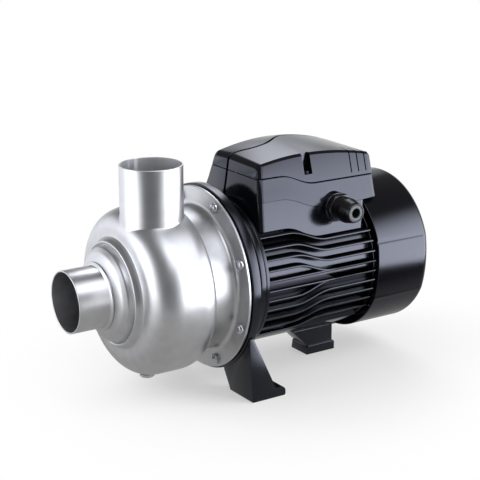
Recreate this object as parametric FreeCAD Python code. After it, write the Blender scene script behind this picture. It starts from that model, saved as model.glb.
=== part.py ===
import FreeCAD, Part
import math
import os

# Close-coupled centrifugal pump with a pressed stainless casing and an air-cooled motor.
# Solids are drawn about the shaft axis: +Y from the suction port to the fan, +Z up,
# +X to the side of the cable gland, y = 0 on the front face of the casing flange.
# On export they move so that the origin lies on the ground, midway between the front foot holes.
# All sizes are in millimetres.

# Stance
shaft_height = 105.0
foot_hole_y = 27.0
foot_hole_x = 70.0
foot_hole_r = 4.5

# Ports, both plain two-inch tube
port_r = 30.15
port_wall = 1.5
suction_rim_y = -145.6
suction_root_y = -108.0
spigot_r = 29.6
port_relief = 0.3
discharge_x = 16.0
discharge_y = -60.5
discharge_rim_z = 124.5
discharge_plain = 32.0
discharge_root_r = 31.6
collar_r = 33.2
collar_t = 2.0

# Pressed casing
casing_wall = 2.0
barrel_r = 84.8
barrel_front_y = -66.5
barrel_rear_y = -45.0
front_face_y = -92.5
front_face_r = 62.0
neck_front_y = -28.4
neck_round = 5.0
shoulder_w = 5.0
flange_r = 90.7
flange_width = 19.7
boss_face_y = -111.5
boss_edge_y = -101.5
boss_r = 46.4
bead_r = 50.0
bead_y = -98.6
groove_y = -95.2
drain_y = -60.0
drain_boss_h = 2.7
plug_boss_r = 9.0
plug_r = 5.0
plug_head_r = 7.5
plug_head_h = 4.5
plug_washer_t = 1.2
plug_socket_r = 2.5
vent_angle = 112.0
vent_y = -58.0
vent_boss_h = 2.0

# Casing cover, its seal cup and the gasket joint
cover_wall = 1.5
cover_rim_inset = 2.7
cover_gap = 4.0
cover_back_y = -40.0
cup_r = 21.0
cup_floor_y = -16.0

# Bolts of the casing joint
bolt_edge = 7.7
bolt_count = 8
bolt_first_angle = 22.5
bolt_hole_gap = 0.3
bolt_r = 3.0
bolt_head_r = 5.4
bolt_head_h = 5.0

# Motor bracket with its two front legs
bracket_lip = 2.0
bracket_flange_t = 9.3
bracket_neck_wall = 1.0
bracket_rear_y = 30.0
bracket_rear_flange_t = 6.0
bracket_web_y = 13.0
bracket_web_t = 8.0
leg_front_y = 5.3
leg_wall = 6.0
leg_top_x = 84.0
leg_top_z = -42.0
leg_foot_x = 88.7
leg_inner_x = 49.6
leg_arch_x = 34.0
leg_arch_z = -74.0
leg_slope_y = 9.3
pad_t = 9.0
pad_rear_y = 44.0
pad_slope_y = 33.0

# Shaft and what it carries
impeller_seat_r = 8.0
seal_seat_r = 9.0
front_seat_r = 10.0
shaft_mid_r = 12.5
rear_seat_r = 8.5
fan_seat_r = 7.5
nut_thread_r = 6.0
nut_flats = 19.0
nut_h = 9.0
key_w = 5.0
key_h = 2.2
slinger_r = 17.0
slinger_t = 3.0
slinger_y = 2.0
shaft_rear_y = 206.0
running_gap = 0.05
air_gap = 0.4

# Impeller
impeller_r = 65.0
impeller_eye_r = 34.0
impeller_sheet = 1.4
impeller_back_y = -52.0
impeller_width = 13.0
impeller_eye_y = -94.0
shroud_eye_y = -80.0
hub_r = 14.0
hub_front_y = -84.0
vane_count = 6
vane_inlet_r = 24.0
vane_turn = 62.0
wear_gap = 0.35
wear_wall = 1.6

# Shaft seal
seal_seat_outer_r = 19.0
seal_seat_h = 7.0
seal_head_r = 15.5
seal_head_h = 12.0
seal_spring_r = 12.4
seal_wire_r = 1.0
seal_turns = 3

# Bearings, bore and outer radius with width
front_bearing_r = 23.5
front_bearing_w = 14.0
rear_bearing_r = 20.0
rear_bearing_w = 12.0
race_wall = 2.5
ball_count = 8
cage_wall = 1.9
cage_t = 4.0

# Motor body
body_front_y = 30.0
body_rear_y = 165.0
stator_r = 60.0
body_core_r = 67.0
fin_r = 76.0
fin_front_y = 34.0
fin_rear_y = 163.0
fin_t = 2.6
fin_pitch = 10.1
fin_mid_z = 2.6
fins_above = 5
fins_below = 6
wave_start_y = 64.0
wave_end_y = 112.0
belly_r = 73.5
belly_top_z = -57.0
tie_circle_r = 66.0
tie_r = 2.5
tie_boss_r = 6.0
tie_head_r = 4.2
tie_head_h = 4.0
tie_angles = (60.0, 120.0, 240.0, 300.0)
core_front_y = 58.0
core_length = 80.0
rotor_r = 32.0
winding_overhang = 19.0
winding_in_r = 37.0
winding_out_r = 57.0

# Rear end shield, fan and cover
shield_t = 6.0
shield_r = 72.0
shield_hub_r = 25.0
spigot_depth = 4.0
fan_y = 184.0
fan_r = 70.0
fan_hub_r = 15.0
fan_blades = 7
fan_blade_w = 18.0
fan_disc_t = 2.0
fan_blade_t = 2.2
cover_shell = 2.5
fan_cover_r = 80.0
fan_cover_rear_y = 232.5
fan_cover_round = 14.0
crease_high_z = 26.0
crease_low_z = -34.0
crease_flat = 2.2
grille_rings = 4
grille_first_r = 20.0
grille_pitch = 12.0
grille_slot = 7.0
grille_spoke = 6.0
grille_spokes = 6
cover_screw_r = 2.0
cover_screw_head_r = 3.8
cover_screw_y = 168.0
lug_r = 5.0
lug_clear = 0.05

# Terminal box
box_top_x = 39.5
box_top_z = 113.2
box_side_slope = 0.288
box_front_y = 43.7
box_front_slope = 0.143
box_rear_y = 181.0
box_step_y = 165.6
box_step_z = 67.0
box_heel_y = 158.0
skirt_front_z = 52.4
skirt_drop = 12.2
box_wall = 2.5
box_clear = 0.6
parting_front_z = 100.6
parting_drop = 10.6
ridge_x = -12.0
ridge_crown_z = 126.0
far_crown_z = 122.8
near_crown_z = 118.6
ridge_front_z = 114.2
box_rear_z = 110.5
crown_y = 104.0
lid_screw_y = 101.0
lid_screw_r = 2.0
lid_screw_head_r = 3.6
lid_screw_head_h = 3.0
lid_screw_length = 30.0
lid_screw_inset = 1.0
lid_slot_w = 9.5
lid_slot_z = 98.7
screw_post_r = 7.5
screw_post_z = 55.0
wire_hole_r = 6.0
wire_hole_y = 50.0
wire_hole_shift = 8.0
lid_groove_ys = (153.6, 162.6, 171.8)
lid_groove_w = 1.4
lid_groove_depth = 1.0
lid_groove_z = 94.0
capacitor_r = 15.0
capacitor_length = 72.0
capacitor_x = -13.0
capacitor_y = 50.0
terminal_x = 22.0
terminal_w = 20.0
terminal_length = 46.0
terminal_h = 14.0

# Cable gland
gland_y = 127.0
gland_z = 65.0
gland_thread_r = 8.0
gland_bore_r = 5.0
gland_flats = 26.0
gland_hex_t = 6.0
gland_nut_r = 12.5
gland_nut_tip_r = 9.8
gland_nut_length = 24.0
gland_boss_r = 14.6

# Rear foot
rear_foot_half = 14.0
rear_foot_top_y = 107.0
rear_foot_rear_y = 160.0
rear_foot_toe_y = 124.0
rear_foot_pad_t = 9.5
rear_foot_web = 5.0
rear_foot_waist = 1.5
rear_foot_screw_r = 2.5
rear_foot_head_r = 4.4
rear_foot_head_h = 3.0
rear_foot_well_r = 5.5
rear_foot_depth = 7.0
sole_t = 3.0
rear_foot_screw_ys = (122.0, 146.0)

# Radii of the casing joint, all measured inwards or outwards from the flange rim
neck_r = flange_r - flange_width
bolt_circle_r = flange_r - bolt_edge
cover_rim_r = flange_r - cover_rim_inset
cover_r = neck_r - casing_wall - cover_gap
bracket_flange_r = flange_r + bracket_lip
bracket_neck_r = neck_r + bracket_neck_wall

Y_AXIS = FreeCAD.Vector(0, 1, 0)


def vec(x, y, z):
    return FreeCAD.Vector(x, y, z)


def polar(radius, degrees, y):
    """Point at an angle from +X towards +Z."""
    turn = math.radians(degrees)
    return vec(radius * math.cos(turn), y, radius * math.sin(turn))


def export(name, *solids):
    """Move the solids to the ground frame and write one node."""
    node = Part.makeCompound(list(solids)) if len(solids) > 1 else solids[0]
    node = node.copy()
    node.translate(vec(0, -foot_hole_y, shaft_height))
    node.exportStep("parts/" + name + ".step")


def outline(points):
    """Closed planar face through the given points."""
    return Part.Face(Part.makePolygon(points + [points[0]]))


def face_of(edges):
    """Planar face inside edges given in any order."""
    return Part.Face(Part.Wire(Part.__sortEdges__(edges)))


def revolve(face):
    return face.revolve(vec(0, 0, 0), Y_AXIS, 360)


def turned(*pairs):
    """Solid of revolution about the shaft from (radius, y) corners."""
    return revolve(outline([vec(r, y, 0) for r, y in pairs]))


def rod(radius, y0, y1, x=0.0, z=0.0):
    """Cylinder along the shaft direction."""
    return Part.makeCylinder(radius, y1 - y0, vec(x, y0, z), Y_AXIS)


def ring(inner, outer, y0, y1):
    return rod(outer, y0, y1).cut(rod(inner, y0 - 1, y1 + 1))


def block(x0, x1, y0, y1, z0, z1):
    return Part.makeBox(x1 - x0, y1 - y0, z1 - z0, vec(x0, y0, z0))


def around(shape, angles):
    """Copies of a shape turned about the shaft."""
    copies = []
    for angle in angles:
        copy = shape.copy()
        copy.rotate(vec(0, 0, 0), Y_AXIS, angle)
        copies.append(copy)
    return copies


def even_angles(count, first=0.0):
    return [first + 360.0 * i / count for i in range(count)]


def fuse(first, *others):
    joined = first.multiFuse(list(others)) if others else first
    return joined.removeSplitter()


def hexagon(flats, y0, y1):
    """Hexagonal prism along the shaft."""
    corner = flats / math.sqrt(3)
    points = [polar(corner, 60 * i + 30, y0) for i in range(6)]
    return outline(points).extrude(vec(0, y1 - y0, 0))


# Casing

def lines(points):
    """Edges that join the points in turn."""
    return [Part.makeLine(a, b) for a, b in zip(points, points[1:])]


def profile(*pairs):
    """Points in the half plane beside the shaft from (radius, y) pairs."""
    return [vec(r, y, 0) for r, y in pairs]


def casing_edges(inset):
    """Edges of the pressed wall from the eye to the flange rim, outer face or inset inner face."""
    front = front_face_y + inset
    barrel = barrel_r - inset
    rear = neck_front_y - inset
    neck = neck_r - inset
    shoulder = neck_r + shoulder_w - inset
    if inset:
        eye = profile((spigot_r, boss_face_y + inset), (boss_r - 3.4, boss_edge_y + 2.5),
                      (bead_r + 3, front), (front_face_r, front))
    else:
        eye = profile((spigot_r, boss_face_y), (boss_r - 8.4, boss_face_y + 1.6),
                      (boss_r - 2.2, boss_edge_y - 3.6), (boss_r, boss_edge_y), (boss_r + 0.5, bead_y + 1.5),
                      (bead_r - 1.8, bead_y - 1), (bead_r + 1.4, bead_y - 0.7), (bead_r + 3, groove_y),
                      (bead_r + 5, front), (front_face_r, front))
    cut = neck_round * (1 - math.sqrt(0.5))
    joint = profile(
        (shoulder, rear), (neck + cut, rear + cut), (neck, rear + neck_round), (neck, inset - neck_round),
        (neck + cut, inset - cut), (neck + neck_round, inset), (flange_r, inset))
    return lines(eye) + [
        quarter_round(vec(front_face_r, barrel_front_y, 0), barrel - front_face_r, front - barrel_front_y),
        Part.makeLine(vec(barrel, barrel_front_y, 0), vec(barrel, barrel_rear_y, 0)),
        quarter_round(vec(shoulder, barrel_rear_y, 0), barrel - shoulder, rear - barrel_rear_y),
    ] + lines(joint)


def quarter_round(centre, half_r, half_y):
    """Arc from the barrel to a flat wall; half_y is negative in front of the centre."""
    barrel = centre + vec(half_r, 0, 0)
    wall = centre + vec(0, half_y, 0)
    middle = centre + vec(half_r, half_y, 0) * math.sqrt(0.5)
    return Part.Arc(wall, middle, barrel).toShape()


def casing_solid(inset):
    """Everything inside the pressed wall, down to the shaft axis."""
    first = vec(spigot_r, boss_face_y + inset, 0)
    last = vec(flange_r, inset, 0)
    closing = lines([last, vec(0, last.y, 0), vec(0, first.y, 0), first])
    return revolve(face_of(casing_edges(inset) + closing))


def discharge_rod(radius, z0, z1):
    return Part.makeCylinder(radius, z1 - z0, vec(discharge_x, discharge_y, z0))


def radial_rod(radius, r0, r1, degrees, y):
    """Cylinder along a radius of the casing."""
    base = polar(r0, degrees, y)
    return Part.makeCylinder(radius, r1 - r0, base, polar(1, degrees, 0))


def bolt_set(shape):
    """The shape at every bolt of the casing joint."""
    return around(shape, even_angles(bolt_count, bolt_first_angle))


def bolt_holes(y0, y1):
    hole = rod(bolt_r + bolt_hole_gap, y0, y1, bolt_circle_r)
    return Part.makeCompound(bolt_set(hole))


def casing_parts():
    eye = Part.makeLine(vec(spigot_r, boss_face_y, 0), vec(spigot_r, boss_face_y + casing_wall, 0))
    rim = Part.makeLine(vec(flange_r, 0, 0), vec(flange_r, casing_wall, 0))
    wall = revolve(face_of(casing_edges(0) + [rim] + casing_edges(casing_wall) + [eye]))
    cavity = casing_solid(casing_wall)
    inside_r = barrel_r - casing_wall
    bosses = []
    drills = [discharge_rod(port_r - port_wall, cover_r / 2, discharge_rim_z)]
    for degrees, y, height in ((270, drain_y, drain_boss_h), (vent_angle, vent_y, vent_boss_h)):
        boss = radial_rod(plug_boss_r, inside_r - plug_head_h, barrel_r + height, degrees, y)
        bosses.append(boss.cut(cavity))
        drills.append(radial_rod(plug_r, inside_r - plug_boss_r, barrel_r + plug_boss_r, degrees, y))
    casing = wall.multiFuse(bosses).cut(Part.makeCompound(drills))
    casing = casing.cut(bolt_holes(-1, casing_wall + 1))
    export("volute_casing", casing.removeSplitter())
    export("discharge_tube", discharge_form().cut(casing_solid(0)))
    root_y = suction_collar_y() - port_relief
    bore = port_r - port_wall
    tube = turned((bore, suction_rim_y), (port_r, suction_rim_y), (port_r, root_y), (spigot_r, root_y),
                  (spigot_r, suction_root_y), (bore, suction_root_y))
    export("suction_tube", tube)
    front = suction_collar_y()
    bead = turned((spigot_r, boss_face_y), (collar_r, boss_face_y), (collar_r, front + 0.8),
                  (collar_r - 1, front), (spigot_r, front))
    export("suction_weld_collar", bead)
    plug_parts("drain", 270, drain_y, barrel_r + drain_boss_h)
    plug_parts("vent", vent_angle, vent_y, barrel_r + vent_boss_h)


def suction_collar_y():
    """Front face of the weld collar, where the plain length of the suction port ends."""
    return boss_face_y - collar_t


def discharge_form():
    """Tube with a plain end and a root that widens towards the barrel."""
    plain_z = discharge_rim_z - discharge_plain
    flare_z = plain_z - 4 * (discharge_root_r - port_r)
    low_z = neck_r / 2
    outer = outline([vec(0, 0, low_z), vec(discharge_root_r, 0, low_z), vec(discharge_root_r, 0, flare_z),
                     vec(port_r, 0, plain_z), vec(port_r, 0, discharge_rim_z), vec(0, 0, discharge_rim_z)])
    tube = outer.revolve(vec(0, 0, 0), vec(0, 0, 1), 360)
    tube.translate(vec(discharge_x, discharge_y, 0))
    return tube.cut(discharge_rod(port_r - port_wall, low_z - 1, discharge_rim_z + 1))


def plug_parts(name, degrees, y, seat_r):
    """Screw plug with a bevelled head and its sealing washer."""
    top = seat_r + plug_head_h
    under = seat_r + plug_washer_t
    washer = radial_rod(plug_head_r, seat_r, under, degrees, y)
    export(name + "_plug_washer", washer.cut(radial_rod(plug_r, seat_r - 1, under + 1, degrees, y)))
    head = radial_rod(plug_head_r, under, top, degrees, y)
    head = head.makeChamfer((top - under) / 3, [head.Edges[0]])
    socket = radial_rod(plug_socket_r, (under + top) / 2, top + 1, degrees, y)
    shank = radial_rod(plug_r, barrel_r - casing_wall - 1, under, degrees, y)
    export(name + "_plug", fuse(head, shank).cut(socket))


def cover_parts():
    t = cover_wall
    rim_y = casing_wall
    hole_r = seal_seat_r + 1.5
    cover = turned(
        (cover_rim_r, rim_y), (cover_r, rim_y), (cover_r, cover_back_y), (cup_r, cover_back_y),
        (cup_r, cup_floor_y), (hole_r, cup_floor_y), (hole_r, cup_floor_y + t),
        (cup_r + t, cup_floor_y + t), (cup_r + t, cover_back_y + t), (cover_r - t, cover_back_y + t),
        (cover_r - t, rim_y + t), (cover_rim_r, rim_y + t))
    export("casing_cover", cover.cut(bolt_holes(rim_y - 1, rim_y + t + 1)))
    half = cover_gap / 2
    middle = cover_r + half
    chord = half * math.tan(math.radians(22.5))
    ring_y = -neck_round - half
    seal = turned(*[(middle + a * half, ring_y + b * half) for a, b in (
        (1, chord / half), (chord / half, 1), (-chord / half, 1), (-1, chord / half),
        (-1, -chord / half), (-chord / half, -1), (chord / half, -1), (1, -chord / half))])
    export("casing_o_ring", seal)
    eye_front = front_face_y + casing_wall
    sleeve_r = impeller_eye_r + wear_gap
    wear = turned((sleeve_r, eye_front - 3), (sleeve_r + wear_wall, eye_front - 3),
                  (sleeve_r + wear_wall, eye_front), (front_face_r - 2, eye_front),
                  (front_face_r - 2, eye_front + wear_wall), (sleeve_r, eye_front + wear_wall))
    export("wear_ring", wear)


def casing_bolts():
    """Round-headed bolts with a stepped dome."""
    tip = casing_wall + cover_wall + bracket_flange_t
    dome = [vec(0, -bolt_head_h, 0), vec(bolt_head_r * 0.4, -bolt_head_h, 0),
            vec(bolt_head_r * 0.8, -bolt_head_h * 0.75, 0), vec(bolt_head_r, -bolt_head_h * 0.35, 0),
            vec(bolt_head_r, 0, 0), vec(bolt_r, 0, 0), vec(bolt_r, tip, 0), vec(0, tip, 0)]
    bolt = revolve(outline(dome))
    bolt.translate(vec(bolt_circle_r, 0, 0))
    export("casing_bolts", *bolt_set(bolt))


# Impeller, shaft and seal

def vane():
    """One backward-curved blade, cut to the passage between the two shrouds."""
    outer_r = impeller_r
    mid_r = (vane_inlet_r + outer_r) / 2
    tips = [(vane_inlet_r, 0), (mid_r, -0.42 * vane_turn), (outer_r, -vane_turn)]
    faces = []
    for shift in (0, 1):
        step = shift * math.degrees(impeller_sheet / mid_r)
        faces.append([polar(r, a + step, impeller_back_y - impeller_sheet / 2) for r, a in tips])
    front, back = faces
    wire = Part.Wire([
        Part.Arc(*front).toShape(), Part.makeLine(front[2], back[2]),
        Part.Arc(back[2], back[1], back[0]).toShape(), Part.makeLine(back[0], front[0])])
    blade = Part.Face(wire).extrude(vec(0, shroud_eye_y - impeller_back_y - 6, 0))
    outlet_y = impeller_back_y - impeller_width
    inner_r = vane_inlet_r - 1
    passage = turned((inner_r, shroud_eye_y - 1), (impeller_eye_r - 1, shroud_eye_y - 1),
                     (outer_r, outlet_y - 0.5), (outer_r, impeller_back_y),
                     (inner_r, impeller_back_y))
    return blade.common(passage)


def impeller_parts():
    t = impeller_sheet
    outlet_y = impeller_back_y - impeller_width
    shroud = turned(
        (impeller_eye_r - t, impeller_eye_y), (impeller_eye_r, impeller_eye_y),
        (impeller_eye_r, shroud_eye_y - t), (impeller_r, outlet_y - t), (impeller_r, outlet_y),
        (impeller_eye_r - t, shroud_eye_y))
    disc = ring(impeller_seat_r, impeller_r, impeller_back_y - t, impeller_back_y)
    hub = ring(impeller_seat_r, hub_r, hub_front_y, impeller_back_y)
    vanes = around(vane(), even_angles(vane_count))
    key_top = impeller_seat_r + key_h
    key = block(-key_w / 2, key_w / 2, hub_front_y + 4, impeller_back_y - 6,
                impeller_seat_r - key_h, key_top)
    impeller = fuse(disc, hub, shroud, *vanes)
    slot = block(-key_w / 2, key_w / 2, hub_front_y - 1, impeller_back_y + 1, 0, key_top)
    export("impeller", impeller.cut(slot.cut(rod(impeller_seat_r, hub_front_y - 2, impeller_back_y + 2))))
    export("impeller_key", key)
    nut = hexagon(nut_flats, hub_front_y - nut_h, hub_front_y).cut(
        rod(nut_thread_r, hub_front_y - nut_h - 1, hub_front_y + 1))
    export("impeller_nut", nut)


def shaft_parts(front_bearing_y, rear_bearing_y):
    front_end = front_bearing_y + front_bearing_w
    rear_end = rear_bearing_y + rear_bearing_w
    shaft = turned(
        (0, hub_front_y - nut_h - 2), (nut_thread_r, hub_front_y - nut_h - 2), (nut_thread_r, hub_front_y),
        (impeller_seat_r, hub_front_y), (impeller_seat_r, impeller_back_y), (seal_seat_r, impeller_back_y),
        (seal_seat_r, front_bearing_y - 3), (front_seat_r, front_bearing_y - 3), (front_seat_r, front_end),
        (shaft_mid_r, front_end), (shaft_mid_r, rear_bearing_y), (rear_seat_r, rear_bearing_y),
        (rear_seat_r, rear_end + 1), (fan_seat_r, rear_end + 1), (fan_seat_r, shaft_rear_y),
        (0, shaft_rear_y))
    keyway = block(-key_w / 2, key_w / 2, hub_front_y + 4, impeller_back_y - 6,
                   impeller_seat_r - key_h, impeller_seat_r + 1)
    export("shaft", shaft.cut(keyway))
    export("slinger", ring(seal_seat_r, slinger_r, slinger_y, slinger_y + slinger_t))
    export("rotor_core", ring(shaft_mid_r, rotor_r, core_front_y, core_front_y + core_length))


def seal_parts():
    seat_y = cup_floor_y - seal_seat_h
    head_y = seat_y - seal_head_h
    export("seal_seat", ring(seal_seat_r + 0.8, cup_r, seat_y, cup_floor_y))
    export("seal_head", ring(seal_seat_r, seal_head_r, head_y, seat_y - running_gap))
    folds = 3
    pitch = (head_y - impeller_back_y) / folds
    crest = seal_head_r - 1
    points = [(seal_seat_r, impeller_back_y)]
    for i in range(folds):
        start = impeller_back_y + i * pitch
        points += [(crest - 2.5, start), (crest, start + pitch / 2)]
    points += [(crest - 2.5, head_y), (seal_seat_r, head_y)]
    export("seal_bellows", turned(*points))


def bearing_parts(name, bore_r, outer_r, y, width):
    """Deep-groove bearing as two races and a caged ball set; returns the cage speed ratio."""
    inner_top = bore_r + race_wall
    outer_bottom = outer_r - race_wall
    pitch_r = (inner_top + outer_bottom) / 2
    ball_r = (outer_bottom - inner_top) / 2 - running_gap
    middle = y + width / 2
    export(name + "_inner_race", ring(bore_r, inner_top, y, y + width))
    export(name + "_outer_race", ring(outer_bottom, outer_r, y, y + width))
    ball = Part.makeSphere(ball_r, vec(pitch_r, middle, 0))
    cage = ring(pitch_r - cage_wall, pitch_r + cage_wall, middle - cage_t, middle + cage_t)
    export(name + "_ball_cage", fuse(cage, *around(ball, even_angles(ball_count))))
    return 0.5 * (1 - ball_r / pitch_r)


# Motor bracket

def leg(side):
    """One front leg: face wall, outer side wall and foot pad, open to the rear and inside."""
    front = outline([vec(side * x, 0, z) for x, z in (
        (leg_top_x, leg_top_z), (leg_foot_x, -shaft_height), (leg_inner_x, -shaft_height),
        (leg_arch_x, leg_arch_z), (leg_arch_x, leg_arch_z + 18), (leg_arch_x + 22, leg_top_z - 8))])
    front = front.extrude(vec(0, pad_rear_y + 10, 0))
    pad_z = pad_t - shaft_height
    toe = pad_t / 2
    toe_low = vec(0, pad_rear_y - toe, -shaft_height)
    toe_high = vec(0, pad_rear_y - toe, pad_z)
    corners = [toe_high, vec(0, pad_slope_y, pad_z), vec(0, leg_slope_y, leg_top_z),
               vec(0, leg_front_y, leg_top_z), vec(0, leg_front_y, -shaft_height), toe_low]
    edges = [Part.makeLine(a, b) for a, b in zip(corners, corners[1:])]
    edges.append(Part.Arc(toe_low, vec(0, pad_rear_y, toe - shaft_height), toe_high).toShape())
    profile = Part.Face(Part.Wire(edges)).extrude(vec(side * 100, 0, 0))
    hollow_x = leg_top_x - leg_wall
    hollow = block(min(0, side * hollow_x), max(0, side * hollow_x),
                   leg_front_y + leg_wall, pad_rear_y + 1, pad_z, leg_top_z)
    hole = Part.makeCylinder(foot_hole_r, pad_t + 2, vec(side * foot_hole_x, foot_hole_y, -shaft_height - 1))
    return front.common(profile).cut(hollow).cut(hole)


def bracket(bearing_y):
    face_y = casing_wall + cover_wall
    ring_end = face_y + bracket_flange_t
    rear = bracket_rear_y
    hub_r_out = front_bearing_r + 5
    rear_flange_y = rear - bracket_rear_flange_t
    web_end = bracket_web_y + bracket_web_t
    lip_r = seal_seat_r + 2
    body = turned(
        (cover_r + 1, face_y), (bracket_flange_r, face_y), (bracket_flange_r, ring_end),
        (fin_r, ring_end), (bracket_neck_r, ring_end + 1.5), (bracket_neck_r, rear_flange_y),
        (fin_r, rear_flange_y), (fin_r, rear), (stator_r, rear), (stator_r, rear + spigot_depth),
        (stator_r - 4, rear + spigot_depth), (stator_r - 4, web_end), (hub_r_out, web_end),
        (hub_r_out, bearing_y + front_bearing_w), (front_bearing_r, bearing_y + front_bearing_w),
        (front_bearing_r, bearing_y), (front_bearing_r - race_wall, bearing_y),
        (front_bearing_r - race_wall, bearing_y - 1), (lip_r, bearing_y - 1), (lip_r, bearing_y - 4),
        (hub_r_out, bearing_y - 4), (hub_r_out, bracket_web_y), (cover_r - 3, bracket_web_y))
    tie_holes = [radial_free_rod(tie_r, web_end - 6, rear + 1, angle) for angle in tie_angles]
    bolts = bolt_set(rod(bolt_r, face_y - 1, ring_end + 1, bolt_circle_r))
    solid = fuse(body, leg(1), leg(-1)).cut(Part.makeCompound(tie_holes + bolts))
    export("motor_bracket", solid)


def radial_free_rod(radius, y0, y1, degrees):
    """Rod along the shaft direction on the tie-bolt circle."""
    centre = polar(tie_circle_r, degrees, 0)
    return rod(radius, y0, y1, centre.x, centre.z)


# Motor body

def wave_edges(y0, y1, front_z, drop):
    """Straight, S-shaped and straight edges in the plane x = 0, from front to rear."""
    rear_z = front_z - drop
    middle = (wave_start_y + wave_end_y) / 2
    start = vec(0, wave_start_y, front_z)
    end = vec(0, wave_end_y, rear_z)
    bend = Part.BezierCurve()
    bend.setPoles([start, vec(0, middle, front_z), vec(0, middle, rear_z), end])
    return [Part.makeLine(vec(0, y0, front_z), start), bend.toShape(),
            Part.makeLine(end, vec(0, y1, rear_z))]


def wave_plate(y0, y1, front_z, drop, thickness, half_width):
    """Horizontal plate that follows the wave, centred on its height."""
    top = wave_edges(y0, y1, front_z + thickness / 2, drop)
    bottom = wave_edges(y0, y1, front_z - thickness / 2, drop)
    ends = [Part.makeLine(vec(0, y0, front_z + thickness / 2), vec(0, y0, front_z - thickness / 2)),
            Part.makeLine(vec(0, y1, front_z + thickness / 2 - drop),
                          vec(0, y1, front_z - thickness / 2 - drop))]
    plate = face_of(top + bottom + ends).extrude(vec(2 * half_width, 0, 0))
    plate.translate(vec(-half_width, 0, 0))
    return plate


def fin_levels():
    """Front height and drop of every fin; the middle pair runs straight."""
    levels = []
    for i in range(-fins_below, fins_above):
        height = fin_mid_z + (i + 0.5) * fin_pitch
        drop = 0.0 if i in (-1, 0) else math.copysign(fin_pitch, height - fin_mid_z)
        levels.append((height, drop))
    return levels


def motor_body():
    band = ring(body_core_r - 1, fin_r, fin_front_y - 0.5, fin_rear_y)
    plates = [wave_plate(fin_front_y - 1, fin_rear_y + 1, z, drop, fin_t, fin_r + 5)
              for z, drop in fin_levels()]
    fins = Part.makeCompound([plate.common(band) for plate in plates])
    crown_r = body_core_r + 5
    crown_z = skirt_front_z + 1
    core = ring(stator_r, body_core_r, body_front_y, body_rear_y)
    front = ring(stator_r, fin_r, body_front_y, fin_front_y)
    rear = ring(stator_r, crown_r, fin_rear_y - 2, body_rear_y)
    crown = ring(stator_r, crown_r, body_front_y, body_rear_y).common(
        block(-fin_r, fin_r, body_front_y, body_rear_y, crown_z, fin_r))
    belly = ring(stator_r, belly_r, body_front_y, body_rear_y).common(
        block(-fin_r, fin_r, body_front_y, body_rear_y, -fin_r, belly_top_z))
    sole = block(-rear_foot_half, rear_foot_half, rear_foot_top_y - 2, body_rear_y - 3,
                 -belly_r - sole_t, -belly_r + rear_foot_web)
    bosses = [radial_free_rod(tie_boss_r, body_front_y, body_rear_y, angle) for angle in tie_angles]
    solid = core.multiFuse([front, rear, crown, belly, sole] + bosses + fins.Solids)
    tie_holes = [radial_free_rod(tie_r + 0.25, body_front_y - 1, body_rear_y + 1, angle)
                 for angle in tie_angles]
    foot_holes = [foot_rod(rear_foot_screw_r, y, -belly_r - sole_t - 1, rear_foot_depth - belly_r)
                  for y in rear_foot_screw_ys]
    bore = rod(stator_r, body_front_y - 1, body_rear_y + 1)
    solid = solid.cut(Part.makeCompound(tie_holes + [wire_hole()] + foot_holes + [bore]))
    export("motor_body", solid.removeSplitter())


def stator_parts():
    bore = rotor_r + air_gap
    front = core_front_y
    rear = core_front_y + core_length
    export("stator_core", ring(bore, stator_r, front, rear))
    coil = turned((winding_in_r, front), (winding_out_r, front), (winding_out_r, front - 13),
                  (winding_out_r - 4, front - winding_overhang + 2),
                  (winding_in_r + 4, front - winding_overhang + 2), (winding_in_r, front - 13))
    far = turned((winding_in_r, rear), (winding_out_r, rear), (winding_out_r, rear + 13),
                 (winding_out_r - 4, rear + winding_overhang - 2),
                 (winding_in_r + 4, rear + winding_overhang - 2), (winding_in_r, rear + 13))
    export("stator_windings", coil, far)


def end_shield(bearing_y):
    face = body_rear_y
    rear = face + shield_t
    bearing_end = bearing_y + rear_bearing_w
    body = turned(
        (rear_bearing_r, bearing_y), (shield_hub_r, bearing_y), (shield_hub_r, face),
        (stator_r - 4, face), (stator_r - 4, face - spigot_depth), (stator_r, face - spigot_depth),
        (stator_r, face), (shield_r, face), (shield_r, rear), (shield_hub_r + 6, rear),
        (shield_hub_r + 2, rear + 4), (fan_seat_r + 3, rear + 4), (fan_seat_r + 3, bearing_end + 2),
        (rear_bearing_r, bearing_end + 2))
    inner = fan_cover_r - cover_shell
    lugs = []
    seat = cover_form(cover_shell + lug_clear).common(rod(fan_cover_r, face, rear))
    for degrees in (0, 180, 270):
        lug = radial_rod(lug_r, shield_r - lug_r, fan_cover_r, degrees, cover_screw_y)
        lugs.append(lug.common(seat))
    holes = [radial_free_rod(tie_r + 0.25, face - 1, rear + 1, angle) for angle in tie_angles]
    holes += [radial_rod(cover_screw_r, shield_r - 6, inner + 1, degrees, cover_screw_y)
              for degrees in (180, 270)]
    export("rear_shield", fuse(body, *lugs).cut(Part.makeCompound(holes)))
    spring = turned((rear_bearing_r - race_wall, bearing_end), (rear_bearing_r - 0.2, bearing_end),
                    (rear_bearing_r - 0.2, bearing_end + 2), (rear_bearing_r - race_wall, bearing_end + 2))
    export("preload_washer", spring)
    start = bracket_web_y + bracket_web_t - 5
    ties = []
    for degrees in tie_angles:
        centre = polar(tie_circle_r, degrees, 0)
        head = rod(tie_head_r, rear, rear + tie_head_h, centre.x, centre.z)
        ties.append(fuse(head, rod(tie_r, start, rear, centre.x, centre.z)))
    export("tie_bolts", *ties)


# Fan and its cover

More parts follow.
